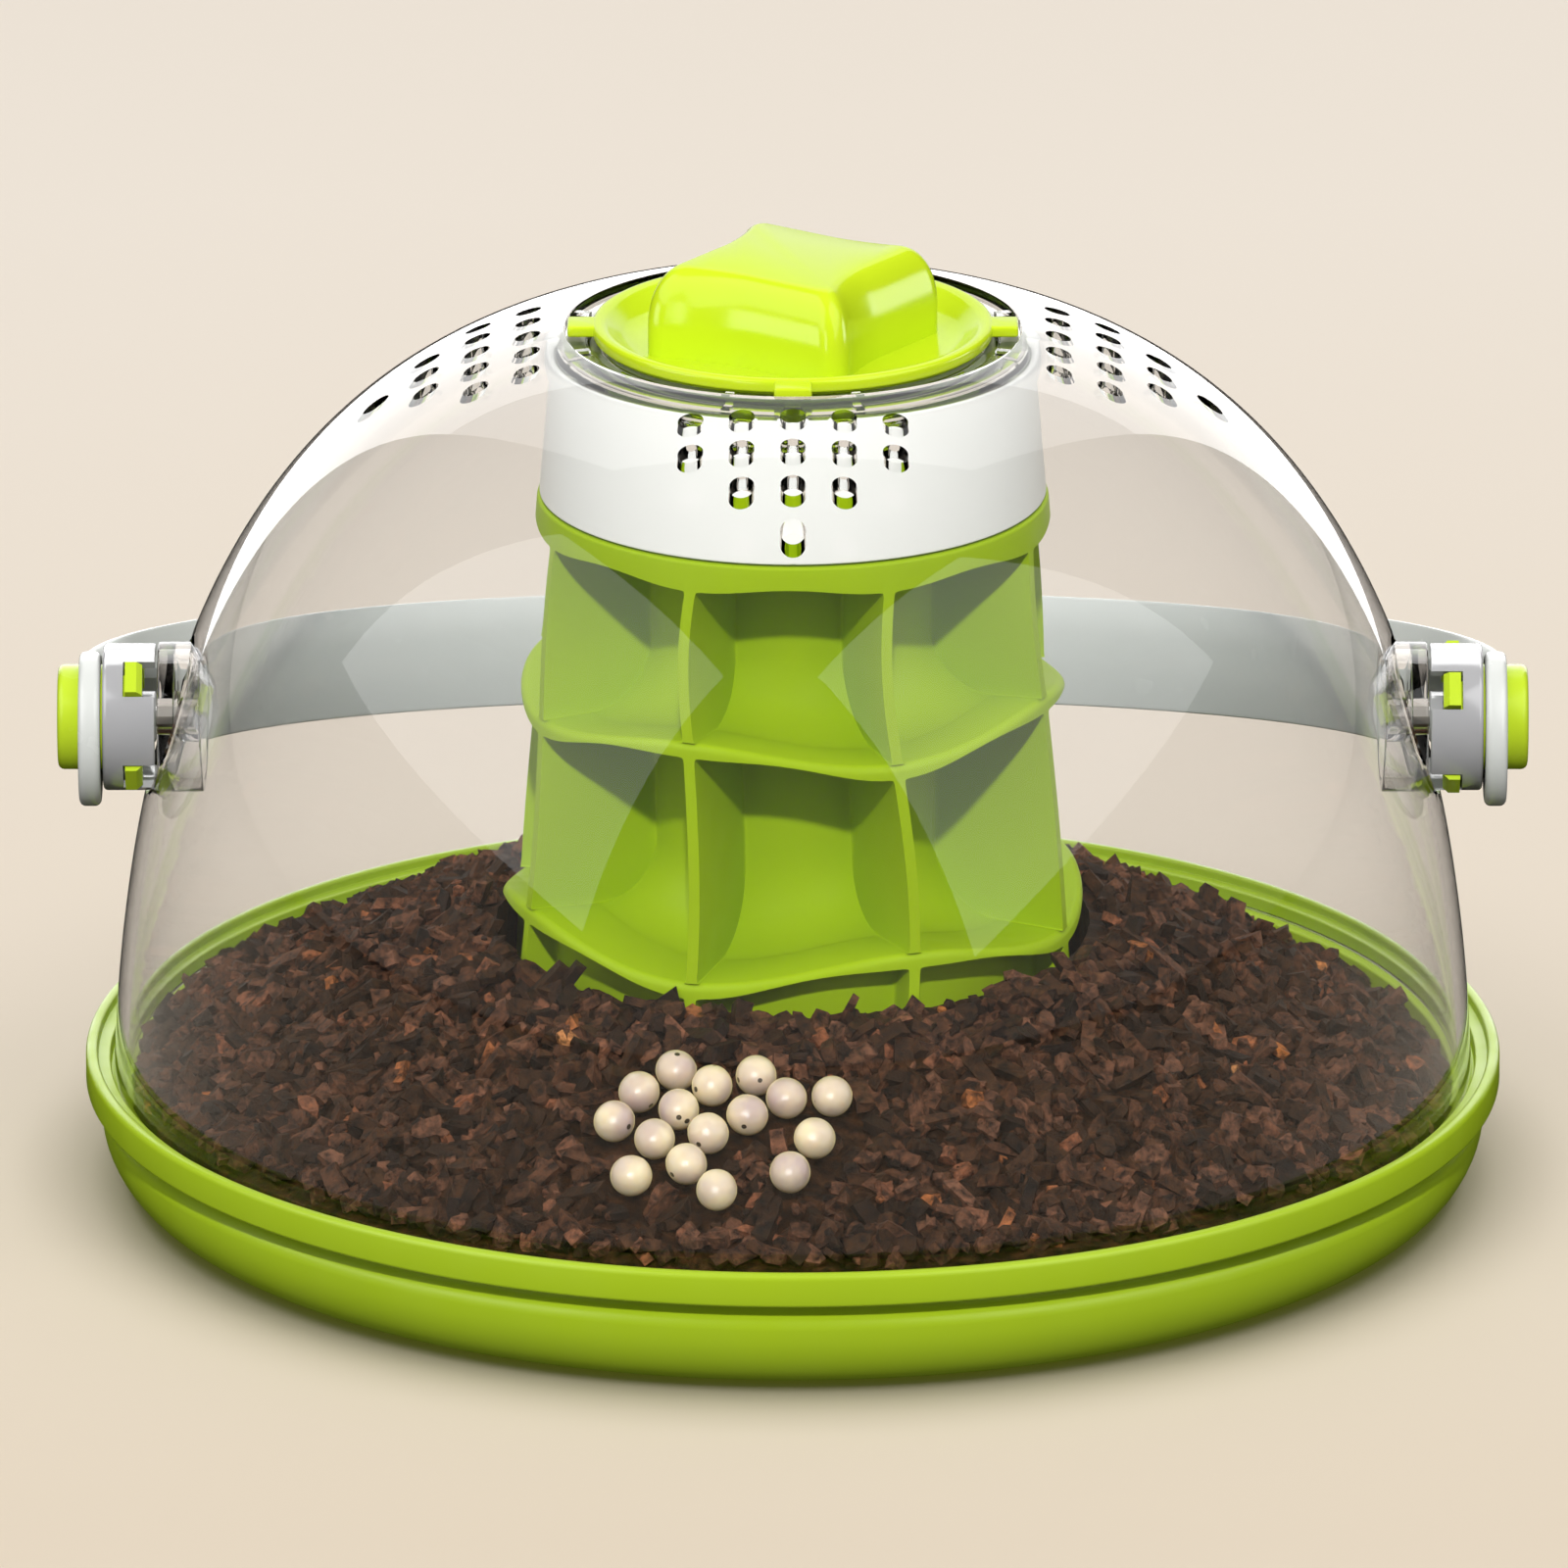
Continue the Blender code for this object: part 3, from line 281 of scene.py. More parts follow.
def moulded(name, colour, deeper, gloss=(0.30, 0.40), mirror=0.5):
    """Satin polypropylene: two close tones, gloss that varies, and a fine mould grain."""
    made, tree = blank(name)
    place = add(tree, "ShaderNodeTexCoord").outputs["Object"]
    flow = add(tree, "ShaderNodeTexNoise", {"Vector": place, "Scale": 1 / FLOW, "Detail": 3.0})
    tone = add(tree, "ShaderNodeMix", {0: flow.outputs["Fac"], 6: linear(colour), 7: linear(deeper)},
               data_type="RGBA")
    polish = add(tree, "ShaderNodeTexNoise", {"Vector": place, "Scale": 1 / POLISH, "Detail": 2.0})
    rough = add(tree, "ShaderNodeMapRange", {"Value": polish.outputs["Fac"], "From Min": 0.3, "From Max": 0.7,
                                             "To Min": gloss[0], "To Max": gloss[1]})
    pits = add(tree, "ShaderNodeTexNoise", {"Vector": place, "Scale": 1 / GRAIN, "Detail": 1.0})
    bump = add(tree, "ShaderNodeBump", {"Height": pits.outputs["Fac"], "Strength": 0.03,
                                        "Distance": 0.1 * MM})
    shader = add(tree, "ShaderNodeBsdfPrincipled", {"Base Color": tone.outputs[2],
                                                    "Roughness": rough.outputs[0],
                                                    "Normal": bump.outputs[0], "IOR": 1.49,
                                                    "Specular IOR Level": mirror})
    add(tree, "ShaderNodeOutputMaterial", {"Surface": shader.outputs[0]})
    return made


lime_tray = moulded("lime_polypropylene_tray", "#9DB71C", "#95AF1A", mirror=0.35)
lime_cap = moulded("lime_polypropylene_cap", "#C3DA22", "#BBD31C", gloss=(0.13, 0.18), mirror=0.3)
lime_button = moulded("lime_polypropylene_button", "#B6CF2B", "#AFC827", gloss=(0.20, 0.28), mirror=0.3)
leaf_tower = moulded("leaf_polypropylene", "#9BB710", "#93AE0E", gloss=(0.34, 0.46), mirror=0.10)
white_plastic = moulded("white_polypropylene", "#FBFAF6", "#F6F5F0")
grey_plastic = moulded("grey_polypropylene", "#CCCECA", "#C5C7C3", gloss=(0.20, 0.28))
hub_plastic = moulded("darker_grey_polypropylene", "#A4A3A5", "#9C9C9D", gloss=(0.12, 0.18), mirror=1.0)
print("moulded finishes:", ", ".join(made.name for made in bpy.data.materials if "polypropylene" in made.name))

# %% [markdown]
# ## Clear plastic
# Dome and pivot bosses are clear polystyrene: it bends light, mirrors the softboxes faintly, and its edge looks
# grey because light is led along the wall. The plastic's index is about 1.59, but traced through four curved
# surfaces that dims all that stands behind, so it is set to 1.36, and a grey absorption gives the edges their
# depth. Tracing lamp light through the wall would only give noise, so for shadow and diffuse rays it counts as
# plainly transparent, slightly dimmed, through a Mix Shader on the Light Path.

# %% Clear plastic
HAZE = 12 * MM
CLEAR_INDEX = 1.36


def clear(name, tint, shade, deep, depth):
    """Clear plastic; over each depth in mm its own colour takes the share that deep lacks of white."""
    made, tree = blank(name)
    place = add(tree, "ShaderNodeTexCoord").outputs["Object"]
    haze = add(tree, "ShaderNodeTexNoise", {"Vector": place, "Scale": 1 / HAZE, "Detail": 3.0})
    rough = add(tree, "ShaderNodeMapRange", {"Value": haze.outputs["Fac"], "From Min": 0.35, "From Max": 0.7,
                                             "To Min": 0.0, "To Max": 0.03})
    wall = add(tree, "ShaderNodeBsdfPrincipled", {"Base Color": linear(tint), "Roughness": rough.outputs[0],
                                                  "IOR": CLEAR_INDEX, "Transmission Weight": 1.0})
    rays = add(tree, "ShaderNodeLightPath")
    unseen = add(tree, "ShaderNodeMath", {0: rays.outputs["Is Shadow Ray"], 1: rays.outputs["Is Diffuse Ray"]},
                 operation="MAXIMUM")
    through = add(tree, "ShaderNodeBsdfTransparent", {"Color": linear(shade)})
    both = add(tree, "ShaderNodeMixShader", {0: unseen.outputs[0], 1: wall.outputs[0], 2: through.outputs[0]})
    grey = add(tree, "ShaderNodeVolumeAbsorption", {"Color": linear(deep), "Density": 1 / (depth * MM)})
    add(tree, "ShaderNodeOutputMaterial", {"Surface": both.outputs[0], "Volume": grey.outputs[0]})
    return made


clear_dome = clear("clear_polystyrene", "#FFFFFF", "#FDFEFD", "#BFC4CE", 28)
print("clear finish:", clear_dome.name)

# %% [markdown]
# ## Modelling helpers
# Most pieces are turned shapes, so the same steps come again and again: draw half of the section as a wire,
# round its corners, spin it. The wire starts as a plane merged to one point, which is then extruded from corner
# to corner. A corner can carry a third number, how far its rounding reaches along each side, and a vertex bevel
# then makes the arc. Cutting and joining is done with the Boolean modifier, applied at once.

# %% Wires and selections
MERGE = 1e-6


def only(piece):
    """Make a piece the active object and the only one selected."""
    bpy.ops.object.select_all(action="DESELECT")
    piece.select_set(True)
    bpy.context.view_layer.objects.active = piece


def drawn(name, points, closed=True):
    """A wire through points in millimetres."""
    points = [Vector(point) * MM for point in points]
    bpy.ops.object.select_all(action="DESELECT")
    bpy.ops.mesh.primitive_plane_add(size=MM)
    piece = bpy.context.object
    piece.name = name
    bpy.ops.object.mode_set(mode="EDIT")
    bpy.ops.mesh.select_mode(type="VERT")
    bpy.ops.mesh.select_all(action="SELECT")
    bpy.ops.mesh.merge(type="CENTER")
    bpy.ops.transform.translate(value=points[0])
    for here, there in zip(points, points[1:] + points[:1] if closed else points[1:]):
        bpy.ops.mesh.extrude_region_move(TRANSFORM_OT_translate={"value": there - here})
    bpy.ops.mesh.select_all(action="SELECT")
    bpy.ops.mesh.remove_doubles(threshold=MERGE)
    bpy.ops.object.mode_set(mode="OBJECT")
    return piece


def choose(piece, kind, test):
    """In edit mode, select the verts, edges or faces whose middle passes a test in millimetres."""
    bpy.ops.object.mode_set(mode="EDIT")
    bpy.ops.mesh.select_mode(type={"vertices": "VERT", "edges": "EDGE", "polygons": "FACE"}[kind])
    bpy.ops.mesh.select_all(action="DESELECT")
    bpy.ops.object.mode_set(mode="OBJECT")
    mesh = piece.data
    for part in getattr(mesh, kind):
        if kind == "edges":
            middle = (mesh.vertices[part.vertices[0]].co + mesh.vertices[part.vertices[1]].co) / 2
        else:
            middle = part.co if kind == "vertices" else part.center
        part.select = test(middle / MM)
    bpy.ops.object.mode_set(mode="EDIT")


print("points closer than", MERGE / MM, "mm are merged")

# %% Rounding and spinning
def rounded(piece, corners, segments):
    """Round the corners of a wire; each is a point and the reach of its rounding."""
    for reach in sorted({corner[1] for corner in corners}):
        spots = [Vector(spot) for spot, size in corners if size == reach]
        choose(piece, "vertices", lambda co: any((co - spot).length < 1e-3 for spot in spots))
        bpy.ops.mesh.bevel(affect="VERTICES", offset=reach * MM, segments=segments)
        bpy.ops.object.mode_set(mode="OBJECT")


def turned(name, outline, steps, segments=4):
    """Spin an outline of (radius, height, rounding) corners in millimetres round the Z axis."""
    outline = [(*corner, 0.0)[:3] for corner in outline]
    closed = outline[0][0] > 0 or outline[-1][0] > 0
    piece = drawn(name, [(radius, 0.0, height) for radius, height, _ in outline], closed)
    rounded(piece, [((radius, 0.0, height), reach) for radius, height, reach in outline if reach], segments)
    bpy.ops.object.mode_set(mode="EDIT")
    bpy.ops.mesh.select_all(action="SELECT")
    bpy.ops.mesh.spin(steps=steps, angle=math.tau, center=(0, 0, 0), axis=(0, 0, 1), use_auto_merge=True)
    tidy()
    return piece


def tidy():
    """From edit mode: merge what lies in one place, turn all faces outwards, and leave edit mode."""
    bpy.ops.mesh.select_all(action="SELECT")
    bpy.ops.mesh.remove_doubles(threshold=MERGE)
    bpy.ops.mesh.normals_make_consistent(inside=False)
    bpy.ops.object.mode_set(mode="OBJECT")


# %% Placing, copying and joining
def moved(piece, place):
    """Put a piece in its place and apply that, so that its object stays at the origin."""
    only(piece)
    piece.matrix_world = place
    bpy.ops.object.transform_apply(location=True, rotation=True, scale=True)
    return piece


def copied(piece):
    """A copy of a piece with a mesh of its own."""
    twin = piece.copy()
    twin.data = piece.data.copy()
    bpy.context.collection.objects.link(twin)
    return twin


def joined(pieces):
    """Make several pieces one mesh, the first one's."""
    only(pieces[0])
    for piece in pieces[1:]:
        piece.select_set(True)
    bpy.ops.object.join()
    return pieces[0]


def combined(piece, tool, operation):
    """Cut a tool from a piece, or join it on, and use the tool up."""
    only(piece)
    change = piece.modifiers.new("combine", "BOOLEAN")
    change.operation = operation
    change.solver = "EXACT"
    change.object = tool
    bpy.ops.object.modifier_apply(modifier=change.name)
    bpy.data.objects.remove(tool)


def fitted(piece, body, slot, finish, *nodes, crease=35):
    """Finish a piece: shading, material, the body it moves with and the solids that it stands for."""
    only(piece)
    bpy.ops.object.shade_smooth_by_angle(angle=math.radians(crease))
    piece.data.materials.clear()
    piece.data.materials.append(finish)
    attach(piece, body)
    if nodes:
        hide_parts(*nodes)
    size = [round(value / MM, 1) for value in piece.dimensions]
    print(piece.name, "faces:", len(piece.data.polygons), "size in mm:", size)


# %% [markdown]
# ## Tray
# The tray is one moulding: a shallow bowl with a soft foot, a cove, a smooth band round the rim that stands out by
# two millimetres, and inside it a step and a seat for the dome. It could be cut from a cylinder with insets, but
# one section holds all its steps, so it is drawn as a section and spun.

# %% Tray
def arc(centre, across, up, start, end, count):
    """Points of an elliptic arc, angles in degrees."""
    turns = np.radians(np.linspace(start, end, count))
    return [(centre[0] + across * math.cos(turn), centre[1] + up * math.sin(turn)) for turn in turns]


TRAY_STEPS = 192
outline = [(0, 0)] + arc((88, 10), 9.8, 10, -90, 0, 18)
outline += [(97.8, 11.0, 0.8), (96.0, 12.8, 0.8), (96.0, 14.2, 0.3)]
outline += [(100, 14.2, 0.5), (100, 19, 0.9), (98.3, 19, 0.5), (98.3, 17.6, 0.2)]
outline += [(96.5, 17.6, 0.3), (96.5, 15.7, 0.2), (93.2, 15.7, 0.5)]
outline += arc((85.2, 10), 8, 8, 0, -90, 10)
outline += [(19.5, 2, 0.3), (19.5, 5, 0.3), (18.1, 5, 0.3), (18.1, 2, 0.3), (0, 2)]
tray = turned("moulded_tray", outline, TRAY_STEPS)
fitted(tray, "base", "lime_plastic", lime_tray, "base_tray")
bounce.light_linking.blocker_collection = lit(bounce, [tray], "INCLUDE")

# %% [markdown]
# ## Tower tiers
# The tower is a stack of three mouldings. Each has a hollow core, eight thin ribs that sway a little to the side,
# and a shelf whose rim rises and falls from rib to rib. Each compartment is a pocket whose back wall runs down
# into its floor in a soft curve. Walls could be built one by one, but that curve comes for free the other way
# round: a solid ring is spun, and eight rounded blocks, bent to the ring, are cut from it. The lowest pockets are
# shallow, because the bark fills them.

# %% The tower's outline
CORE_INNER, CORE_OUTER, WALL = 19.9, 21.5, 1.6
LOWER_SHELF, MIDDLE_SHELF, TOWER_TOP = 42.5, 73.2, 100.5
LOWER_WAVE, MIDDLE_WAVE = 2.1, -1.6
TOWER_STEPS = 192


def tower_radius(height):
    """Outer radius, from 44.3 mm at the foot to 35.8 mm at the top."""
    return 44.3 - 8.5 * (height - 2.3) / 98.2


def sway(height):
    """Sideways turn of a rib in degrees."""
    if height > MIDDLE_SHELF:
        return -1.8 * math.sin(math.pi * (height - MIDDLE_SHELF) / 27.3)
    return 2.4 * math.sin(math.pi * (MIDDLE_SHELF - height) / 48)


def waved(height, wave, radius, angle):
    """Height of a shelf at a place: it rises and falls from rib to rib, more towards its rim."""
    return height + wave * radius / tower_radius(height) * math.sin(math.radians(4 * angle))


def bearing(x, y):
    """Angle round Z in degrees, from the front towards +X."""
    return math.degrees(math.atan2(x, -y))


def polar(radius, angle, height):
    """A point at a distance from the Z axis, an angle from the front in degrees, and a height."""
    turn = math.radians(angle)
    return Vector((radius * math.sin(turn), -radius * math.cos(turn), height))


print("tower radius at the shelves:", [round(tower_radius(z), 1) for z in (LOWER_SHELF, MIDDLE_SHELF, TOWER_TOP)])

# %% A rounded block, bent into a pocket
FLOOR_ROUND, EDGE_ROUND = 10.0, 0.5
POCKET_REACH = 54.0
ARCH = 0.5


def pocket_block():
    """A unit cube with a fine grid that gets denser towards its edges, the start of every pocket."""
    bpy.ops.object.select_all(action="DESELECT")
    bpy.ops.mesh.primitive_cube_add(size=1.0)
    block = bpy.context.object
    bpy.ops.object.mode_set(mode="EDIT")
    bpy.ops.mesh.select_all(action="SELECT")
    bpy.ops.mesh.subdivide(number_cuts=17)
    bpy.ops.object.mode_set(mode="OBJECT")
    for vert in block.data.vertices:
        vert.co = [math.sin(math.pi * value) / 2 for value in vert.co]
    return block


def eased(point, half, first, second, reach):
    """Round one edge direction of a block: pull a point in, seen along the third axis."""
    core = [max(reach - half[axis], min(half[axis] - reach, point[axis])) for axis in (first, second)]
    out = Vector((point[first] - core[0], point[second] - core[1]))
    if out.length > reach:
        out *= reach / out.length
        point[first], point[second] = core[0] + out.x, core[1] + out.y


def softened(point, half):
    """A point of a block with these half sizes, moved in where the block's edges are rounded."""
    eased(point, half, 1, 2, min(FLOOR_ROUND, half.y) if point.y > 0 and point.z < 0 else EDGE_ROUND)
    eased(point, half, 0, 1, EDGE_ROUND)
    eased(point, half, 0, 2, EDGE_ROUND)
    return point


def bent(block, bay, low, low_wave, high, high_wave, back):
    """Bend a copy of the block into one bay, between a floor and a ceiling, in as far as the radius back."""
    pocket = copied(block)
    half = Vector((11.0, (POCKET_REACH - back) / 2, (high - low) / 2))
    for vert in pocket.data.vertices:
        point = softened(Vector([2 * part * size for part, size in zip(vert.co, half)]), half)
        side, depth, rise = (part / size for part, size in zip(point, half))
        radius = back + (POCKET_REACH - back) * (1 - depth) / 2
        share = (rise + 1) / 2
        spread = 22.5 - math.degrees(math.asin(WALL / 2 / radius))
        angle = 45 * bay + sway(low + (high - low) * share) + side * spread
        floor_z = waved(low, low_wave, radius, angle)
        ceiling_z = waved(high, high_wave, radius, angle) + ARCH * math.cos(math.pi * side)
        vert.co = polar(radius, angle, floor_z + (ceiling_z - floor_z) * share) * MM
    return pocket


block = pocket_block()
print("pocket block faces:", len(block.data.polygons))

# %% Cut the three tiers
TOWER_FOOT, SEAM, SOIL_BACK = 2.3, 0.03, 36.5


def tier(name, outline, low, low_wave, high, high_wave, under, back=CORE_OUTER):
    """A spun ring with a wavy foot and top, and eight pockets cut into it up to the shelf's underside."""
    ring = turned(name, outline, TOWER_STEPS)
    for vert in ring.data.vertices:
        x, y, z = vert.co / MM
        base, wave = (high, high_wave) if z > (low + high) / 2 else (low, low_wave)
        vert.co.z += (waved(base, wave, math.hypot(x, y), bearing(x, y)) - base) * MM
    pockets = joined([bent(block, bay, low - 0.1, low_wave, under, high_wave, back) for bay in range(8)])
    bpy.ops.object.mode_set(mode="EDIT")
    tidy()
    combined(ring, pockets, "DIFFERENCE")
    return ring


def shelf_outline(low, high):
    """Section of a tier from its foot, up its side to the shelf's rim, and back down the core's hollow."""
    return [(CORE_INNER, low), (tower_radius(low), low), (tower_radius(high - WALL), high - WALL),
            (tower_radius(high), high, 1.1), (CORE_INNER, high, 0.3)]


lower = tier("tower_lower", shelf_outline(TOWER_FOOT, LOWER_SHELF), TOWER_FOOT, 0.0, LOWER_SHELF, LOWER_WAVE,
             LOWER_SHELF - WALL, SOIL_BACK)
fitted(lower, "base", "leaf_plastic", leaf_tower, "tower_tier_lower", crease=28)

low = LOWER_SHELF + SEAM
middle = tier("tower_middle", shelf_outline(low, MIDDLE_SHELF), low, LOWER_WAVE, MIDDLE_SHELF, MIDDLE_WAVE,
              MIDDLE_SHELF - WALL)
fitted(middle, "base", "leaf_plastic", leaf_tower, "tower_tier_middle", crease=28)

# %% The upper tier and its top plate
PLATE_LOW = TOWER_TOP - 3.7
low = MIDDLE_SHELF + SEAM
outline = [(CORE_INNER, low), (tower_radius(low), low), (35.8, TOWER_TOP, 0.5), (33.5, TOWER_TOP)]
outline += [(33.5, 103, 0.3), (31.9, 103, 0.3), (31.9, TOWER_TOP), (CORE_INNER, TOWER_TOP)]
upper = tier("tower_upper", outline, low, MIDDLE_WAVE, TOWER_TOP, 0.0, PLATE_LOW)
fitted(upper, "base", "leaf_plastic", leaf_tower, "tower_tier_upper", crease=28)
bpy.data.objects.remove(block)

# %% [markdown]
# ## Collar
# A plain white tube stands on the tower's top and reaches up to the dome's neck, so that food dropped through the
# opening falls into the core. It narrows slightly upwards, as mouldings do, and is spun from its wall's section.

# %% Collar
outline = [(35.5, 100.8, 0.3), (33.6, 121.1, 0.5), (32.0, 121.1, 0.5), (33.9, 100.8, 0.3)]
collar = turned("collar_tube", outline, TOWER_STEPS)
fitted(collar, "base", "white_plastic", white_plastic, "collar")

# %% [markdown]
# ## Soil bed
# The bed under the chips is damp soil, heaped towards the tower and lower at the rim on both sides of the back.
# It gets only the darkest bark tones, which paint the shade in the gaps between the chips. A fine spun sheet is
# pushed to the heap's height, and layered waves give it lumps and crumbs. It is closed below, as the tray's
# filling is.

# %% Bark and soil finish
# Damp bark: matt, dark brown with red, orange and tan pieces, and fibres that shade it from light to dark over a
# millimetre or two. The attribute "tone" is one number per chip.
FIBRE = 1.6 * MM


def bark(name):
    """Bark whose colour runs through seven tones by the chip's own number."""
    made, tree = blank(name)
    place = add(tree, "ShaderNodeTexCoord").outputs["Object"]
    own = add(tree, "ShaderNodeAttribute", attribute_name="tone")
    ramp = add(tree, "ShaderNodeValToRGB", {"Fac": own.outputs["Fac"]})
    stops = ((0.0, "#150B06"), (0.3, "#35200F"), (0.55, "#4F3120"), (0.78, "#654331"), (0.90, "#7C4A30"),
             (0.96, "#A05F2C"), (1.0, "#C08C5C"))
    for spot, _ in stops[2:]:
        ramp.color_ramp.elements.new(spot)
    for part, (spot, code) in zip(ramp.color_ramp.elements, stops):
        part.position, part.color = spot, linear(code)
    fibre = add(tree, "ShaderNodeTexNoise", {"Vector": place, "Scale": 1 / FIBRE, "Detail": 6.0,
                                             "Roughness": 0.7})
    shade = add(tree, "ShaderNodeMapRange", {"Value": fibre.outputs["Fac"], "From Min": 0.38, "From Max": 0.64,
                                             "To Min": 0.12, "To Max": 1.75})
    tone = add(tree, "ShaderNodeMix", {0: 1.0, 6: ramp.outputs["Color"], 7: shade.outputs[0]},
               data_type="RGBA", blend_type="MULTIPLY")
    bump = add(tree, "ShaderNodeBump", {"Height": fibre.outputs["Fac"], "Strength": 1.0, "Distance": 0.8 * MM})
    rough = add(tree, "ShaderNodeMapRange", {"Value": fibre.outputs["Fac"], "To Min": 0.42, "To Max": 0.75})
    shader = add(tree, "ShaderNodeBsdfPrincipled", {"Base Color": tone.outputs[2],
                                                    "Roughness": rough.outputs[0], "Specular IOR Level": 0.25,
                                                    "Normal": bump.outputs[0]})
    add(tree, "ShaderNodeOutputMaterial", {"Surface": shader.outputs[0]})
    return made


bark_finish = bark("damp_bark")
print("bark finish:", bark_finish.name)

# %% The bed's sheet
SOIL_INNER, SOIL_OUTER = 41.95, 92.9
dice = random.Random(7)
crumbs = [(dice.uniform(-1, 1), dice.uniform(-1, 1), dice.uniform(0, math.tau), dice.uniform(0.8, 2.2))
          for _ in range(14)]


def soil_height(x, y):
    """Height of the heap: highest at the tower, lower at the rim, and lowest at two places towards the back."""
    share = min(max((math.hypot(x, y) - SOIL_INNER) / (SOIL_OUTER - SOIL_INNER), 0.0), 1.0)
    heap = 17.5 + 20 * (1 - share**1.2)
    for angle, depth in ((118, 6), (-125, 3)):
        heap -= depth * share * max(math.cos(math.radians(bearing(x, y) - angle)), 0.0) ** 2
    return heap


def crumble(x, y):
    """A small uneven height of a few tenths of a millimetre."""
    return 0.12 * sum(math.sin((x * across + y * along) * rate + turn) for across, along, turn, rate in crumbs)


outline = [(45.0, 2.3), (85.0, 2.3)] + arc((84.9, 10.3), 8, 8, -80, 0, 5)
outline += [(radius, 37.5) for radius in np.linspace(SOIL_OUTER, SOIL_INNER, 46)]
bed = turned("soil_bed", outline, 224)
for vert in bed.data.vertices:
    if vert.co.z > 37 * MM:
        x, y, z = vert.co / MM
        vert.co.z = (soil_height(x, y) - 0.5 + crumble(x, y)) * MM
tones = bed.data.attributes.new("tone", "FLOAT", "POINT")
# Painted shade: the bed gets only the dark end of the tones, so the gaps between the chips look shadowed.
tones.data.foreach_set("value", [dice.uniform(0.0, 0.45) for _ in bed.data.vertices])
fitted(bed, "base", "bark_soil", bark_finish, "substrate_bed")

# %% [markdown]
# ## Bark chips
# On the bed lie thousands of bark chips: long splinters, flat flakes and crumbs, from under two to eight
# millimetres long. A particle system would scatter them, but a script that keeps them as plain meshes is easier
# to control. Six chip shapes are modelled once, with their corners knocked about, and copied with their own size,
# turn and tone into four meshes, one for each quarter of the bed. Chips near the rim are kept small, so that
# none reaches into the tray's wall.

# %% Six chip shapes
def chip(kind, seed):
    """One chip of unit length as two arrays, its corners and its triangles."""
    bpy.ops.object.select_all(action="DESELECT")
    if kind == "splinter":
        bpy.ops.mesh.primitive_cube_add(size=1.0)
    elif kind == "flake":
        bpy.ops.mesh.primitive_cylinder_add(vertices=7, radius=0.5, depth=1.0)
    else:
        bpy.ops.mesh.primitive_ico_sphere_add(subdivisions=1, radius=0.5)
    shape = bpy.context.object
    bpy.ops.object.mode_set(mode="EDIT")
    bpy.ops.mesh.select_all(action="SELECT")
    if kind == "splinter":
        bpy.ops.mesh.bisect(plane_co=(0.15, 0, 0), plane_no=(1, 0.3, 0))
        bpy.ops.mesh.select_all(action="SELECT")
    bpy.ops.transform.vertex_random(offset=0.16, seed=seed)
    bpy.ops.mesh.quads_convert_to_tris()
    bpy.ops.object.mode_set(mode="OBJECT")
    mesh = shape.data
    corners = np.array([vert.co for vert in mesh.vertices])
    faces = np.array([list(face.vertices) for face in mesh.polygons])
    bpy.data.objects.remove(shape)
    return corners, faces


shapes = {kind: [chip(kind, seed) for seed in (3, 8)] for kind in ("splinter", "flake", "crumb")}
print("chip triangles:", {kind: len(pair[0][1]) for kind, pair in shapes.items()})

# %% Where the eggs lie
EGG_RADIUS = 2.9
EGG_SPOTS = ((-16.2, -58.8), (-21.3, -62.4), (-24.7, -67.6), (-11.2, -62.5), (-5.1, -60.9), (-0.9, -65.5),
             (5.4, -65.0), (-15.8, -66.7), (-19.1, -72.0), (-11.7, -71.8), (-6.3, -68.6), (3.0, -73.2),
             (-14.7, -77.3), (-0.4, -79.6), (-22.3, -78.5), (-10.5, -82.5))


def slope(x, y):
    """The bed's upward normal at a place."""
    step = 1.45
    across = (soil_height(x + step, y) - soil_height(x - step, y)) / (2 * step)
    along = (soil_height(x, y + step) - soil_height(x, y - step)) / (2 * step)
    return Vector((-across, -along, 1.0))


print("eggs:", len(EGG_SPOTS))

# %% Scatter the chips
KINDS = {  # share of all chips, length, width and thickness in mm
    "splinter": (0.32, (3.6, 8.0), (1.3, 2.6), (1.0, 2.0)),
    "flake": (0.33, (2.8, 5.4), (2.0, 3.6), (1.0, 2.2)),
    "crumb": (0.35, (1.4, 3.2), (1.2, 2.8), (1.1, 2.4)),
}
CHIP_COUNT = 7200
CHIPS_FROM, CHIPS_TO, CHIPS_EDGE = 44.6, 92.0, 93.1
TILT = 0.62


def scatter(dice):
    """Corners, faces and tones of all chips, by the quarter that each lies in."""
    quarters = [([], [], []) for _ in range(4)]
    names, shares = list(KINDS), [entry[0] for entry in KINDS.values()]
    for _ in range(CHIP_COUNT):
        radius = math.sqrt(dice.uniform(CHIPS_FROM**2, CHIPS_TO**2))
        angle = dice.uniform(-180, 180)
        x, y, _ = polar(radius, angle, 0)
        kind = dice.choices(names, shares)[0]
        size = [dice.uniform(*span) for span in KINDS[kind][1:]]
        near = min(math.hypot(x - ex, y - ey) for ex, ey in EGG_SPOTS)
        if near < EGG_RADIUS + 0.3 * size[0]:
            continue
        size[:2] = [min(part, 2 * (CHIPS_EDGE - radius)) for part in size[:2]]
        corners, faces = dice.choice(shapes[kind])
        tilt = Vector((dice.gauss(0, TILT), dice.gauss(0, TILT), 1.0)) + slope(x, y) - Vector((0, 0, 1))
        turn = tilt.to_track_quat("Z", "Y").to_matrix() @ Matrix.Rotation(dice.uniform(0, math.tau), 3, "Z")
        lift = dice.uniform(-1.0, 1.5) + max(radius - 88, 0) * 0.25
        spot = np.array((x, y, soil_height(x, y) + lift))
        group = quarters[int((angle + 180) // 90) % 4]
        start = sum(len(part) for part in group[0])
        group[0].append((corners * size) @ np.array(turn).T + spot)
        group[1].append(faces + start)
        tone = dice.betavariate(1.6, 2.3)
        group[2].extend([tone] * len(corners))
    return quarters


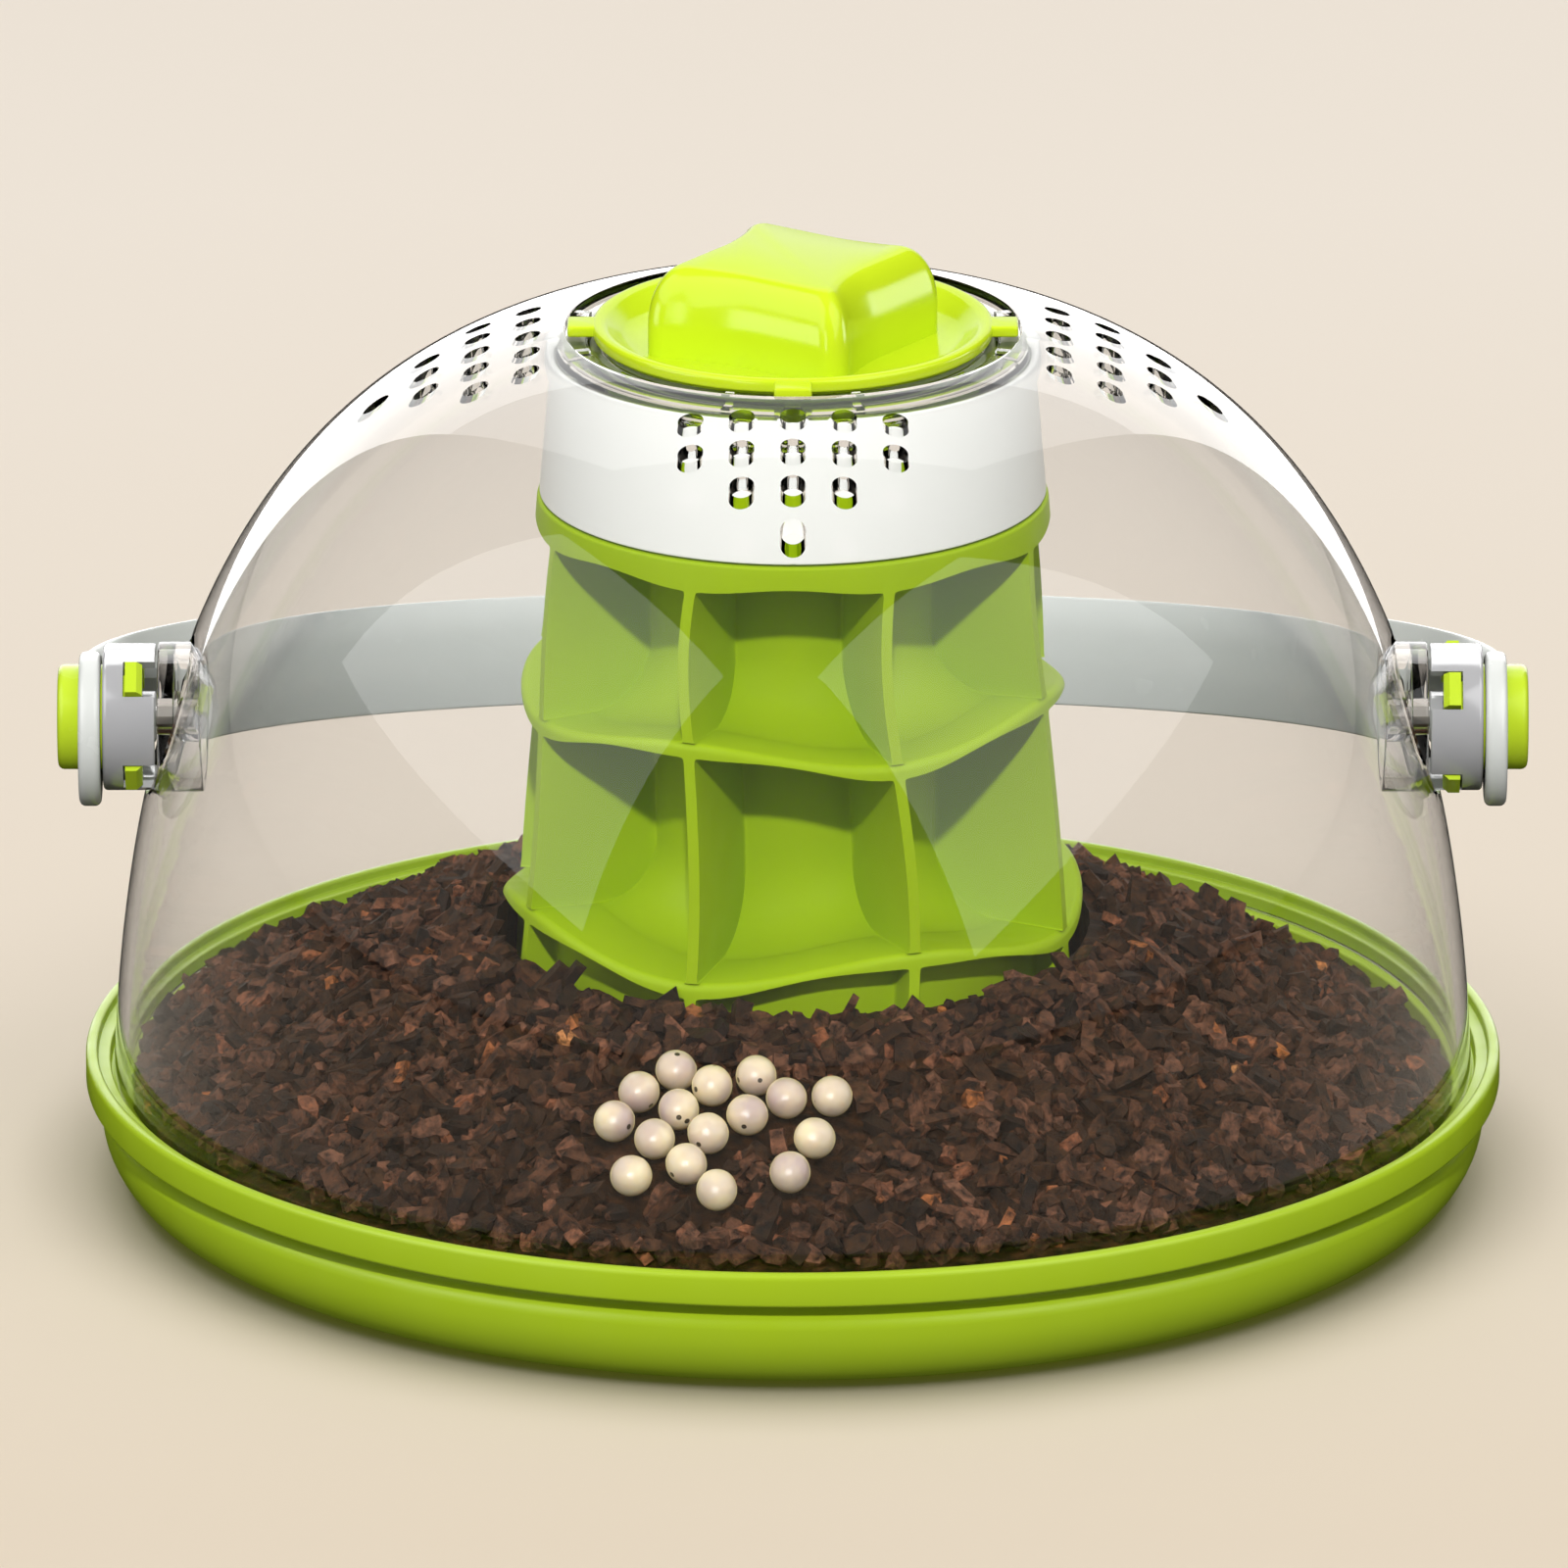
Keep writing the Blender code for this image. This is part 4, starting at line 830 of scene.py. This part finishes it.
moist = []
for word, (corners, faces, tones) in zip(("right_back", "left_back", "left_front", "right_front"),
                                         scatter(random.Random(21))):
    mesh = bpy.data.meshes.new("bark_chips_" + word)
    mesh.from_pydata(np.concatenate(corners) * MM, [], np.concatenate(faces))
    mesh.attributes.new("tone", "FLOAT", "POINT").data.foreach_set("value", tones)
    chips = bpy.data.objects.new("bark_chips_" + word, mesh)
    bpy.context.collection.objects.link(chips)
    fitted(chips, "base", "bark_soil", bark_finish, crease=20)
    moist.append(chips)

# %% [markdown]
# ## Eggs
# A clutch of pearly eggs lies on the bark in front. Each is nearly round, between cream and a greyish pink, with
# a soft glow inside, a small bright highlight and a few dark specks. One egg is modelled from a sphere that is
# made a little narrower and blunter, and then copied to every place with a turn of its own. Clouds and specks are
# patterns in space, so no two eggs look alike.

# %% Egg finish
# Egg shell: a thin pearly skin over a pale body. Light goes in and comes out again nearby, the coat is glossy, and
# a warm sheen lightens the edges.
EGG_CLOUD, SPECK_SPACING = 7 * MM, 2.4 * MM


def egg_shell(name):
    """Two clouded tones with specks, light that spreads inside, and a coat."""
    made, tree = blank(name)
    place = add(tree, "ShaderNodeTexCoord").outputs["Object"]
    cloud = add(tree, "ShaderNodeTexNoise", {"Vector": place, "Scale": 1 / EGG_CLOUD, "Detail": 3.0})
    share = add(tree, "ShaderNodeMapRange", {"Value": cloud.outputs["Fac"], "From Min": 0.35, "From Max": 0.65})
    body = add(tree, "ShaderNodeMix", {0: share.outputs[0], 6: linear("#EAD9B6"), 7: linear("#BFA9A2")},
               data_type="RGBA")
    cells = add(tree, "ShaderNodeTexVoronoi", {"Vector": place, "Scale": 1 / SPECK_SPACING})
    near = add(tree, "ShaderNodeMath", {0: cells.outputs["Distance"], 1: 0.17}, operation="LESS_THAN")
    some = add(tree, "ShaderNodeMath", {0: cells.outputs["Color"], 1: 0.42}, operation="LESS_THAN")
    speck = add(tree, "ShaderNodeMath", {0: near.outputs[0], 1: some.outputs[0]}, operation="MULTIPLY")
    tone = add(tree, "ShaderNodeMix", {0: speck.outputs[0], 6: body.outputs[2], 7: linear("#2A2018")},
               data_type="RGBA")
    shader = add(tree, "ShaderNodeBsdfPrincipled", {"Base Color": tone.outputs[2], "Roughness": 0.3,
                                                    "Subsurface Weight": 1.0, "Subsurface Scale": 2.4 * MM,
                                                    "Subsurface Radius": (1.0, 0.85, 0.6),
                                                    "Coat Weight": 1.0, "Coat Roughness": 0.2, "Coat IOR": 1.9,
                                                    "Sheen Weight": 1.0, "Sheen Tint": linear("#F6E39A"),
                                                    "Sheen Roughness": 0.35, "IOR": 1.45})
    add(tree, "ShaderNodeOutputMaterial", {"Surface": shader.outputs[0]})
    return made


egg_finish = egg_shell("egg_shell")
print("egg finish:", egg_finish.name)

# %% Eggs
bpy.ops.object.select_all(action="DESELECT")
bpy.ops.mesh.primitive_uv_sphere_add(segments=36, ring_count=22, radius=EGG_RADIUS * MM)
first = bpy.context.object
choose(first, "vertices", lambda co: co.z > -10)
bpy.ops.transform.resize(value=(0.97, 0.98, 1.0))
choose(first, "vertices", lambda co: co.z > 0.6 * EGG_RADIUS)
bpy.ops.transform.resize(value=(1.02, 1.02, 0.99))
bpy.ops.object.mode_set(mode="OBJECT")

dice = random.Random(5)
for number, (x, y) in enumerate(EGG_SPOTS, 1):
    egg = copied(first)
    egg.name = f"pearly_egg_{number:02d}"
    height = soil_height(x, y) + (EGG_RADIUS + 0.3) * slope(x, y).length
    turn = Matrix.Rotation(dice.uniform(0, math.tau), 4, "Z") @ Matrix.Rotation(dice.uniform(0, math.tau), 4, "X")
    moved(egg, Matrix.Translation(Vector((x, y, height)) * MM) @ turn)
    fitted(egg, "base", "egg", egg_finish, f"egg_{number:02d}", crease=60)
    moist.append(egg)
bpy.data.objects.remove(first)
lit(sparkle, moist, "INCLUDE")
matt = [bed] + moist[:4]

# %% [markdown]
# ## Dome
# The dome is one clear moulding with a wall of 1.8 mm. Its outline is close to one smooth curve from the foot to
# the neck, so a single Bezier curve gives it, and the inner face is the same curve moved in by the wall. At the
# neck it turns in to a ledge with a short sleeve for the cap. Four groups of round vents go straight down through
# it, and the pivots sit in two round openings at the sides.

# %% The dome's section
DOME_WALL = 1.8
FOOT, NECK = np.array((96.0, 16.0)), np.array((32.0, 124.6))
RISE, SPREAD = FOOT + 49.4 * np.array((-0.038, 1.0)), NECK + 48.7 * np.array((1.0, -0.203))


def dome_curve(count):
    """Points of the outer face from foot to neck, and their outward normals."""
    t = np.linspace(0, 1, count)[:, None]
    line = (1 - t)**3 * FOOT + 3 * (1 - t)**2 * t * RISE + 3 * (1 - t) * t**2 * SPREAD + t**3 * NECK
    run = 3 * (1 - t)**2 * (RISE - FOOT) + 6 * (1 - t) * t * (SPREAD - RISE) + 3 * t**2 * (NECK - SPREAD)
    normal = np.stack((run[:, 1], -run[:, 0]), axis=1)
    return line, normal / np.linalg.norm(normal, axis=1)[:, None]


def dome_radius(height):
    """Outer radius of the dome at a height."""
    line, _ = dome_curve(400)
    return float(np.interp(height, line[:, 1], line[:, 0]))


line, normal = dome_curve(64)
inner = [point for point in line - normal * DOME_WALL if point[0] > 34.0]
inner[0] = np.array((inner[0][0], 16.0))
outline = [(FOOT[0], FOOT[1], 0.3)] + [tuple(point) for point in line[1:-1]] + [(32, 124.6, 0.3)]
outline += [(32, 123.4, 0.2), (27.2, 123.4, 0.3), (27.2, 119, 0.3), (29, 119, 0.3), (29, 121.6, 0.3)]
outline += [tuple(point) for point in reversed(inner)]
dome = turned("clear_dome", outline, 192, segments=3)
print("dome radius at mid height in mm:", round(dome_radius(70), 1))

# %% Vents
VENT_RADIUS, VENT_PITCH, VENT_START = 1.8, 7.1, 37.2
VENT_ROWS = (5, 5, 3, 1)


def vent_pins():
    """Upright round pins, one per vent, all in one mesh."""
    bpy.ops.object.select_all(action="DESELECT")
    bpy.ops.mesh.primitive_cylinder_add(vertices=32, radius=VENT_RADIUS * MM, depth=60 * MM,
                                        location=(0, 0, 105 * MM))
    pin = bpy.context.object
    pins = []
    for group in range(4):
        for row, count in enumerate(VENT_ROWS):
            for place in range(count):
                across = (place - (count - 1) / 2) * VENT_PITCH
                spot = Vector((across, -VENT_START - VENT_PITCH * row, 0)) * MM
                pins.append(copied(pin))
                pins[-1].location = Matrix.Rotation(math.radians(90 * group), 3, "Z") @ spot + pin.location
    bpy.data.objects.remove(pin)
    print("vents:", len(pins))
    return joined(pins)


# %% Stops, and the openings for vents and pivots
PIVOT_HEIGHT, BOSS_RADIUS, OPENING_RADIUS = 67.2, 10.6, 10.9
STOP_ANGLE = 17


def stop_bars():
    """Low bars on the ledge, two beside each tab of the cap."""
    bars = []
    for quarter in range(4):
        for side in (-STOP_ANGLE, STOP_ANGLE):
            angle = 90 * quarter + side
            bpy.ops.object.select_all(action="DESELECT")
            bpy.ops.mesh.primitive_cube_add(size=1.0, location=polar(31.1, angle, 123.25) * MM,
                                            rotation=(0, 0, math.radians(angle)))
            bars.append(bpy.context.object)
            bars[-1].scale = Vector((1.2, 2.7, 1.7)) * MM
    whole = joined(bars)
    bpy.ops.object.transform_apply(location=True, rotation=True, scale=True)
    return whole


combined(dome, stop_bars(), "UNION")
combined(dome, vent_pins(), "DIFFERENCE")
for side in (-1, 1):
    bpy.ops.object.select_all(action="DESELECT")
    bpy.ops.mesh.primitive_cylinder_add(vertices=64, radius=OPENING_RADIUS * MM, depth=96 * MM,
                                        location=(side * 0.096, 0, PIVOT_HEIGHT * MM),
                                        rotation=(0, math.radians(90), 0))
    combined(dome, bpy.context.object, "DIFFERENCE")
fitted(dome, "dome", "clear_plastic", clear_dome, "dome", "dome_neck", crease=30)

# %% [markdown]
# ## Cap and seal
# The twist cap is a lime moulding: a flange that lies on the neck's ledge, four small tabs, and a hollow grip that
# stands in a dish. The grip has four soft points that lean one way, with a flat valley after each. Its outline is
# drawn as eight corners and rounded by vertex bevels, at several heights and drawn in towards the top; bridged,
# these rings give sides that run over into the top in one long, soft curve. The block is joined to the spun
# flange, and a smaller one hollows it from below. A clear silicone ring sits round the plug.

# %% The grip's outline
CAP_STEPS = 128
GRIP_POINT, GRIP_VALLEY = (23.1, 17.3), (14.5, 41.1)  # distance from the axis in mm, and bearing in degrees


def grip_ring(inset, height):
    """The four-pointed outline at one height, drawn in by inset and rounded at its corners."""
    outline = []
    for quarter in range(4):
        for radius, angle in (GRIP_POINT, GRIP_VALLEY):
            outline.append(polar(radius, angle + 90 * quarter, height))
    drawn_in = []
    for place, corner in enumerate(outline):
        before = (corner - outline[place - 1]).normalized()
        after = (outline[(place + 1) % 8] - corner).normalized()
        inward = Vector((-before.y - after.y, before.x + after.x, 0.0)) / (1 + before.dot(after))
        drawn_in.append(corner + inward * inset)
    made = drawn("grip_ring", drawn_in)
    rounded(made, [(corner, max(4.2 - 0.7 * inset, 0.8)) for corner in drawn_in[::2]], 8)
    rounded(made, [(corner, 5.0) for corner in drawn_in[1::2]], 8)
    return made


def grip(name, inset, low, high, soft, deep):
    """The four-pointed block between two heights; its upper edge is rounded by soft inwards, deep downwards."""
    levels = [(inset, low)]
    levels += [(inset + soft * (1 - math.cos(turn)), high - deep + deep * math.sin(turn))
               for turn in np.linspace(0, math.radians(84), 14)]
    made = joined([grip_ring(*level) for level in levels])
    made.name = name
    bpy.ops.object.mode_set(mode="EDIT")
    bpy.ops.mesh.select_mode(type="EDGE")
    bpy.ops.mesh.select_all(action="SELECT")
    bpy.ops.mesh.bridge_edge_loops()
    for height in (levels[0][1], levels[-1][1]):
        choose(made, "edges", lambda co: abs(co.z - height) < 0.001)
        bpy.ops.mesh.edge_face_add()
    tidy()
    return made


print("grip reaches in mm:", GRIP_POINT[0], "at its points,", GRIP_VALLEY[0], "in its valleys")

# %% Cap
outline = [(0, 120.9), (23.6, 120.9, 0.4), (23.6, 119.7, 0.3), (26.4, 119.7, 0.3), (26.4, 120.5, 0.3)]
outline += [(25.2, 120.5, 0.2), (25.2, 123.7, 0.2), (28.1, 123.7, 0.4), (28.1, 125.7, 0.7)]
outline += [(26.5, 125.7, 0.7), (23.1, 122.5, 1.5), (0, 122.5)]
cap = turned("twist_cap", outline, CAP_STEPS)
combined(cap, grip("grip_tool", 0.0, 121.7, 135.2, 4.0, 8.5), "UNION")
bpy.ops.object.select_all(action="DESELECT")
bpy.ops.mesh.primitive_cube_add(size=1.0)
tab = bpy.context.object
tab.scale = Vector((5.3, 4.3, 1.6)) * MM
bpy.ops.object.transform_apply(location=False, rotation=False, scale=True)
choose(tab, "edges", lambda co: True)
bpy.ops.mesh.bevel(offset=0.4 * MM, segments=3)
tidy()
tab_place = Matrix.Translation(Vector((0, -29.45, 124.7)) * MM)
for quarter in range(4):
    turn = Matrix.Rotation(math.radians(90 * quarter), 4, "Z")
    combined(cap, moved(copied(tab), turn @ tab_place), "UNION")
bpy.data.objects.remove(tab)
combined(cap, grip("hollow_tool", 1.6, 119.0, 133.4, 3.4, 7.5), "DIFFERENCE")
fitted(cap, "cap", "lime_plastic", lime_cap, "cap", crease=30)

# %% Who mirrors which lamp
# Damp bark would turn grey under the large softboxes, and the cap's top white under the back panel.
for lamp, others in ((left, []), (right, []), (back, [cap]), (above, [])):
    lit(lamp, others + matt, "EXCLUDE")
for lamp in (cap_back, cap_left, cap_front, cap_right):
    lit(lamp, [cap], "INCLUDE")
print("pieces that leave the softboxes out:", len(matt))

# %% Seal
silicone = clear("clear_silicone", "#F2F4F0", "#EEF1EE", "#BFC4CE", 20)
seal = turned("silicone_seal", arc((26.2, 121.7), 0.7, 0.9, 0, 345, 24), CAP_STEPS)
fitted(seal, "cap_seal", "silicone", silicone, "cap_seal")

# %% [markdown]
# ## Strap
# The handle is a flat, pale grey band on a half circle behind the dome, moulded in one with two eyes that turn on
# the hubs and are wider below the pivot than above it. It leans back until it rests near the dome, and rises a
# little towards its middle, where its thinner upper edge clears the dome when the handle is swung to the front.
# Its section is drawn and filled, the band is spun through half a turn, and the eyes are spun rings that are
# joined on.

# %% Places at the pivots
PIVOT = Vector((0.0, 0.0, PIVOT_HEIGHT)) * MM
HUB_START = dome_radius(PIVOT_HEIGHT - BOSS_RADIUS) - DOME_WALL + 0.3
LEAN = Matrix.Translation(PIVOT) @ Matrix.Rotation(math.radians(-13.0), 4, "X") @ Matrix.Translation(-PIVOT)
SIDES = ((-1, "left"), (1, "right"))
PIVOT_STEPS = 72


def pivot_place(side):
    """Local +Z points outwards along the pivot on one side, from the hub's inner end."""
    start = Matrix.Translation(PIVOT + Vector((side * HUB_START * MM, 0, 0)))
    return start @ Matrix.Rotation(math.radians(90 * side), 4, "Y")


print("hub starts at", round(HUB_START, 2), "mm from the middle")

# %% The strap's band
EYE_MIDDLE, BAND_BULGE, BAND_RISE = 9.25, 1.2, 2.0
BAND_RADIUS = HUB_START + EYE_MIDDLE + BAND_BULGE
BAND_START = 10.0
start = math.asin(BAND_START / BAND_RADIUS)
section = [(1, 3), (0.42, 7.7), (0.2, 8), (-0.2, 8), (-0.43, 7.7), (-1, 3)]
section += [(-1, -7.5), (-0.85, -7.85), (-0.5, -8), (0.5, -8), (0.85, -7.85), (1, -7.5)]
points = [Matrix.Rotation(start, 3, "Z") @ Vector((BAND_RADIUS + t, 0, w)) for t, w in section]
strap = drawn("strap_handle", points)
bpy.ops.object.mode_set(mode="EDIT")
bpy.ops.mesh.select_all(action="SELECT")
bpy.ops.mesh.edge_face_add()
bpy.ops.mesh.spin(steps=96, angle=-(math.pi - 2 * start), center=(0, 0, 0), axis=(0, 0, 1))
tidy()
for vert in strap.data.vertices:
    share = max(vert.co.y / MM - BAND_START, 0) / (BAND_RADIUS - BAND_START)
    vert.co.z += BAND_RISE * share**0.7 * MM
moved(strap, Matrix.Translation(PIVOT))
print("band radius in mm:", round(BAND_RADIUS, 2))

# %% The strap's eyes
EYE_DROP = 1.7
for side, _ in SIDES:
    eye = turned("eye_tool", [(7.8, 7.7, 0.2), (10.9, 7.7, 0.9), (10.9, 10.8, 0.9), (7.8, 10.8, 0.3)], PIVOT_STEPS)
    choose(eye, "vertices", lambda co: co.xy.length > 8.4)
    bpy.ops.transform.translate(value=(side * EYE_DROP * MM, 0, 0))
    bpy.ops.object.mode_set(mode="OBJECT")
    combined(strap, moved(eye, pivot_place(side)), "UNION")
moved(strap, LEAN)
fitted(strap, "handle", "pale_grey_plastic", grey_plastic, "handle_strap")

# %% [markdown]
# ## Pivots
# On each side a grey hub turns on a screw in the clear boss of the dome. A lime button sits in the strap's eye;
# its four lugs show in notches of the hub, and a spring under it pushes it out. Boss, hub and button are spun
# once, upright, and a copy is placed at each side. Notches and arms are blocks set round the axis.

# %% Blocks round a pivot
LUG_TURN = 50


def blades(name, outline, width):
    """Four flat blocks with an outline of (radius, height) corners, set round the axis."""
    blade = drawn(name, [(radius, -width / 2, height) for radius, height in outline])
    bpy.ops.object.mode_set(mode="EDIT")
    bpy.ops.mesh.select_all(action="SELECT")
    bpy.ops.mesh.edge_face_add()
    bpy.ops.mesh.extrude_region_move(TRANSFORM_OT_translate={"value": (0, width * MM, 0)})
    tidy()
    made = [moved(copied(blade), Matrix.Rotation(math.radians(LUG_TURN + 90 * quarter), 4, "Z"))
            for quarter in range(4)]
    bpy.data.objects.remove(blade)
    return joined(made)


print("lugs at", [LUG_TURN + 90 * quarter for quarter in range(4)], "degrees")

# %% Boss, hub and button
BOSS_BACK = dome_radius(PIVOT_HEIGHT + BOSS_RADIUS) - DOME_WALL - 0.3 - HUB_START
BOSS_DEEP = max(BOSS_BACK, -6.4)
boss = turned("clear_boss", [(0, -5.3), (1.9, -5.3), (1.9, -0.3), (BOSS_RADIUS, -0.3, 0.4),
                             (BOSS_RADIUS, BOSS_BACK, 0.3), (8.8, BOSS_BACK, 0.3), (8.8, -2.5, 0.4),
                             (3.6, -2.5, 0.4), (3.6, BOSS_DEEP, 0.3), (0, BOSS_DEEP)], PIVOT_STEPS)

hub = turned("grey_hub", [(1.9, 0, 0.2), (3.6, 0, 0.3), (3.6, 4.5, 0.3), (8.75, 4.5, 0.3), (8.75, 0, 0.3),
                          (10.35, 0, 0.3), (10.35, 7.4, 0.6), (8.75, 7.4, 0.3), (8.75, 5.5, 0.3),
                          (1.9, 5.5, 0.2)], PIVOT_STEPS)
notch = [(5.8, -1), (12, -1), (12, 4.5), (7.8, 4.5), (7.8, 6.5), (5.8, 6.5)]
combined(hub, blades("notch_tool", notch, 5.8), "DIFFERENCE")

button = turned("push_button", [(0, 12.3), (5.9, 12.3, 0.4), (5.9, 7.3, 0.2), (7.4, 7.3, 0.2), (7.4, 13.8, 0.9),
                                (0, 13.8)], PIVOT_STEPS)
arm = [(6.2, 1.8), (9.75, 1.8), (10.55, 2.6), (10.55, 4.2), (7.0, 4.2), (7.0, 8.8), (6.2, 8.8)]
combined(button, blades("arm_tool", arm, 5.0), "UNION")
print("boss, hub and button faces:", [len(piece.data.polygons) for piece in (boss, hub, button)])

# %% Set the pivots' pieces at both sides
shiny = []
for side, word in SIDES:
    pair = []
    for piece in (boss, hub, button):
        pair.append(moved(copied(piece), pivot_place(side)))
        pair[-1].name = f"{piece.name}_{word}"
    fitted(pair[0], "dome", "clear_plastic", clear_dome, "pivot_boss_" + word)
    fitted(pair[1], "handle", "pale_grey_plastic", hub_plastic, "hub_" + word)
    fitted(pair[2], "button_" + word, "lime_plastic", lime_button, "button_" + word)
    shiny += pair[:2]
for piece in (boss, hub, button):
    bpy.data.objects.remove(piece)
lit(hub_panel, shiny, "INCLUDE")

# %% [markdown]
# ## Springs and screws
# The springs are round steel wire, three turns, hidden under the buttons. A small circle with a Screw modifier
# winds the coil. It stands on the hub and follows the handle. Screws and washers keep their imported shape and get
# the same steel.

# %% Steel
STREAK = 0.1 * MM


def steel(name):
    """Drawn steel wire and turned screws: bright, with fine streaks of about 0.1 mm."""
    made, tree = blank(name)
    place = add(tree, "ShaderNodeTexCoord").outputs["Object"]
    streak = add(tree, "ShaderNodeTexNoise", {"Vector": place, "Scale": 1 / STREAK, "Detail": 2.0})
    rough = add(tree, "ShaderNodeMapRange", {"Value": streak.outputs["Fac"], "To Min": 0.22, "To Max": 0.4})
    shader = add(tree, "ShaderNodeBsdfPrincipled", {"Base Color": linear("#C9C8C5"), "Metallic": 1.0,
                                                    "Roughness": rough.outputs[0]})
    add(tree, "ShaderNodeOutputMaterial", {"Surface": shader.outputs[0]})
    return made


steel_finish = steel("drawn_steel")
print("steel finish:", steel_finish.name)

# %% One spring
WIRE, COIL, TURNS = 0.7, 4.9, 3
SPRING_LOW, SPRING_HIGH, TRAVEL = 5.8, 12.0, 1.5

bpy.ops.object.select_all(action="DESELECT")
bpy.ops.mesh.primitive_circle_add(vertices=14, radius=WIRE / 2 * MM, rotation=(math.radians(90), 0, 0),
                                  location=Vector((COIL, 0, SPRING_LOW + WIRE / 2)) * MM)
coil = bpy.context.object
bpy.ops.object.transform_apply(location=True, rotation=True, scale=True)
wind = coil.modifiers.new("wind", "SCREW")
wind.angle = TURNS * math.tau
wind.screw_offset = (SPRING_HIGH - SPRING_LOW - WIRE) * MM
wind.steps = wind.render_steps = 40 * TURNS
wind.use_merge_vertices = False
bpy.ops.object.modifier_apply(modifier=wind.name)
bpy.ops.object.mode_set(mode="EDIT")
bpy.ops.mesh.select_mode(type="EDGE")
bpy.ops.mesh.select_non_manifold()
bpy.ops.mesh.edge_face_add()
tidy()
print("spring faces:", len(coil.data.polygons))

# %% Springs, screws and washers at both sides
for side, word in SIDES:
    spring = moved(copied(coil), pivot_place(side))
    spring.name = "wire_spring_" + word
    fitted(spring, "handle", "steel", steel_finish, "button_spring_" + word)
    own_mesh(spring)
    for kind in ("screw", "washer"):
        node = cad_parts[f"pivot_{kind}_{word}"]
        node.data.materials.clear()
        node.data.materials.append(steel_finish)
bpy.data.objects.remove(coil)
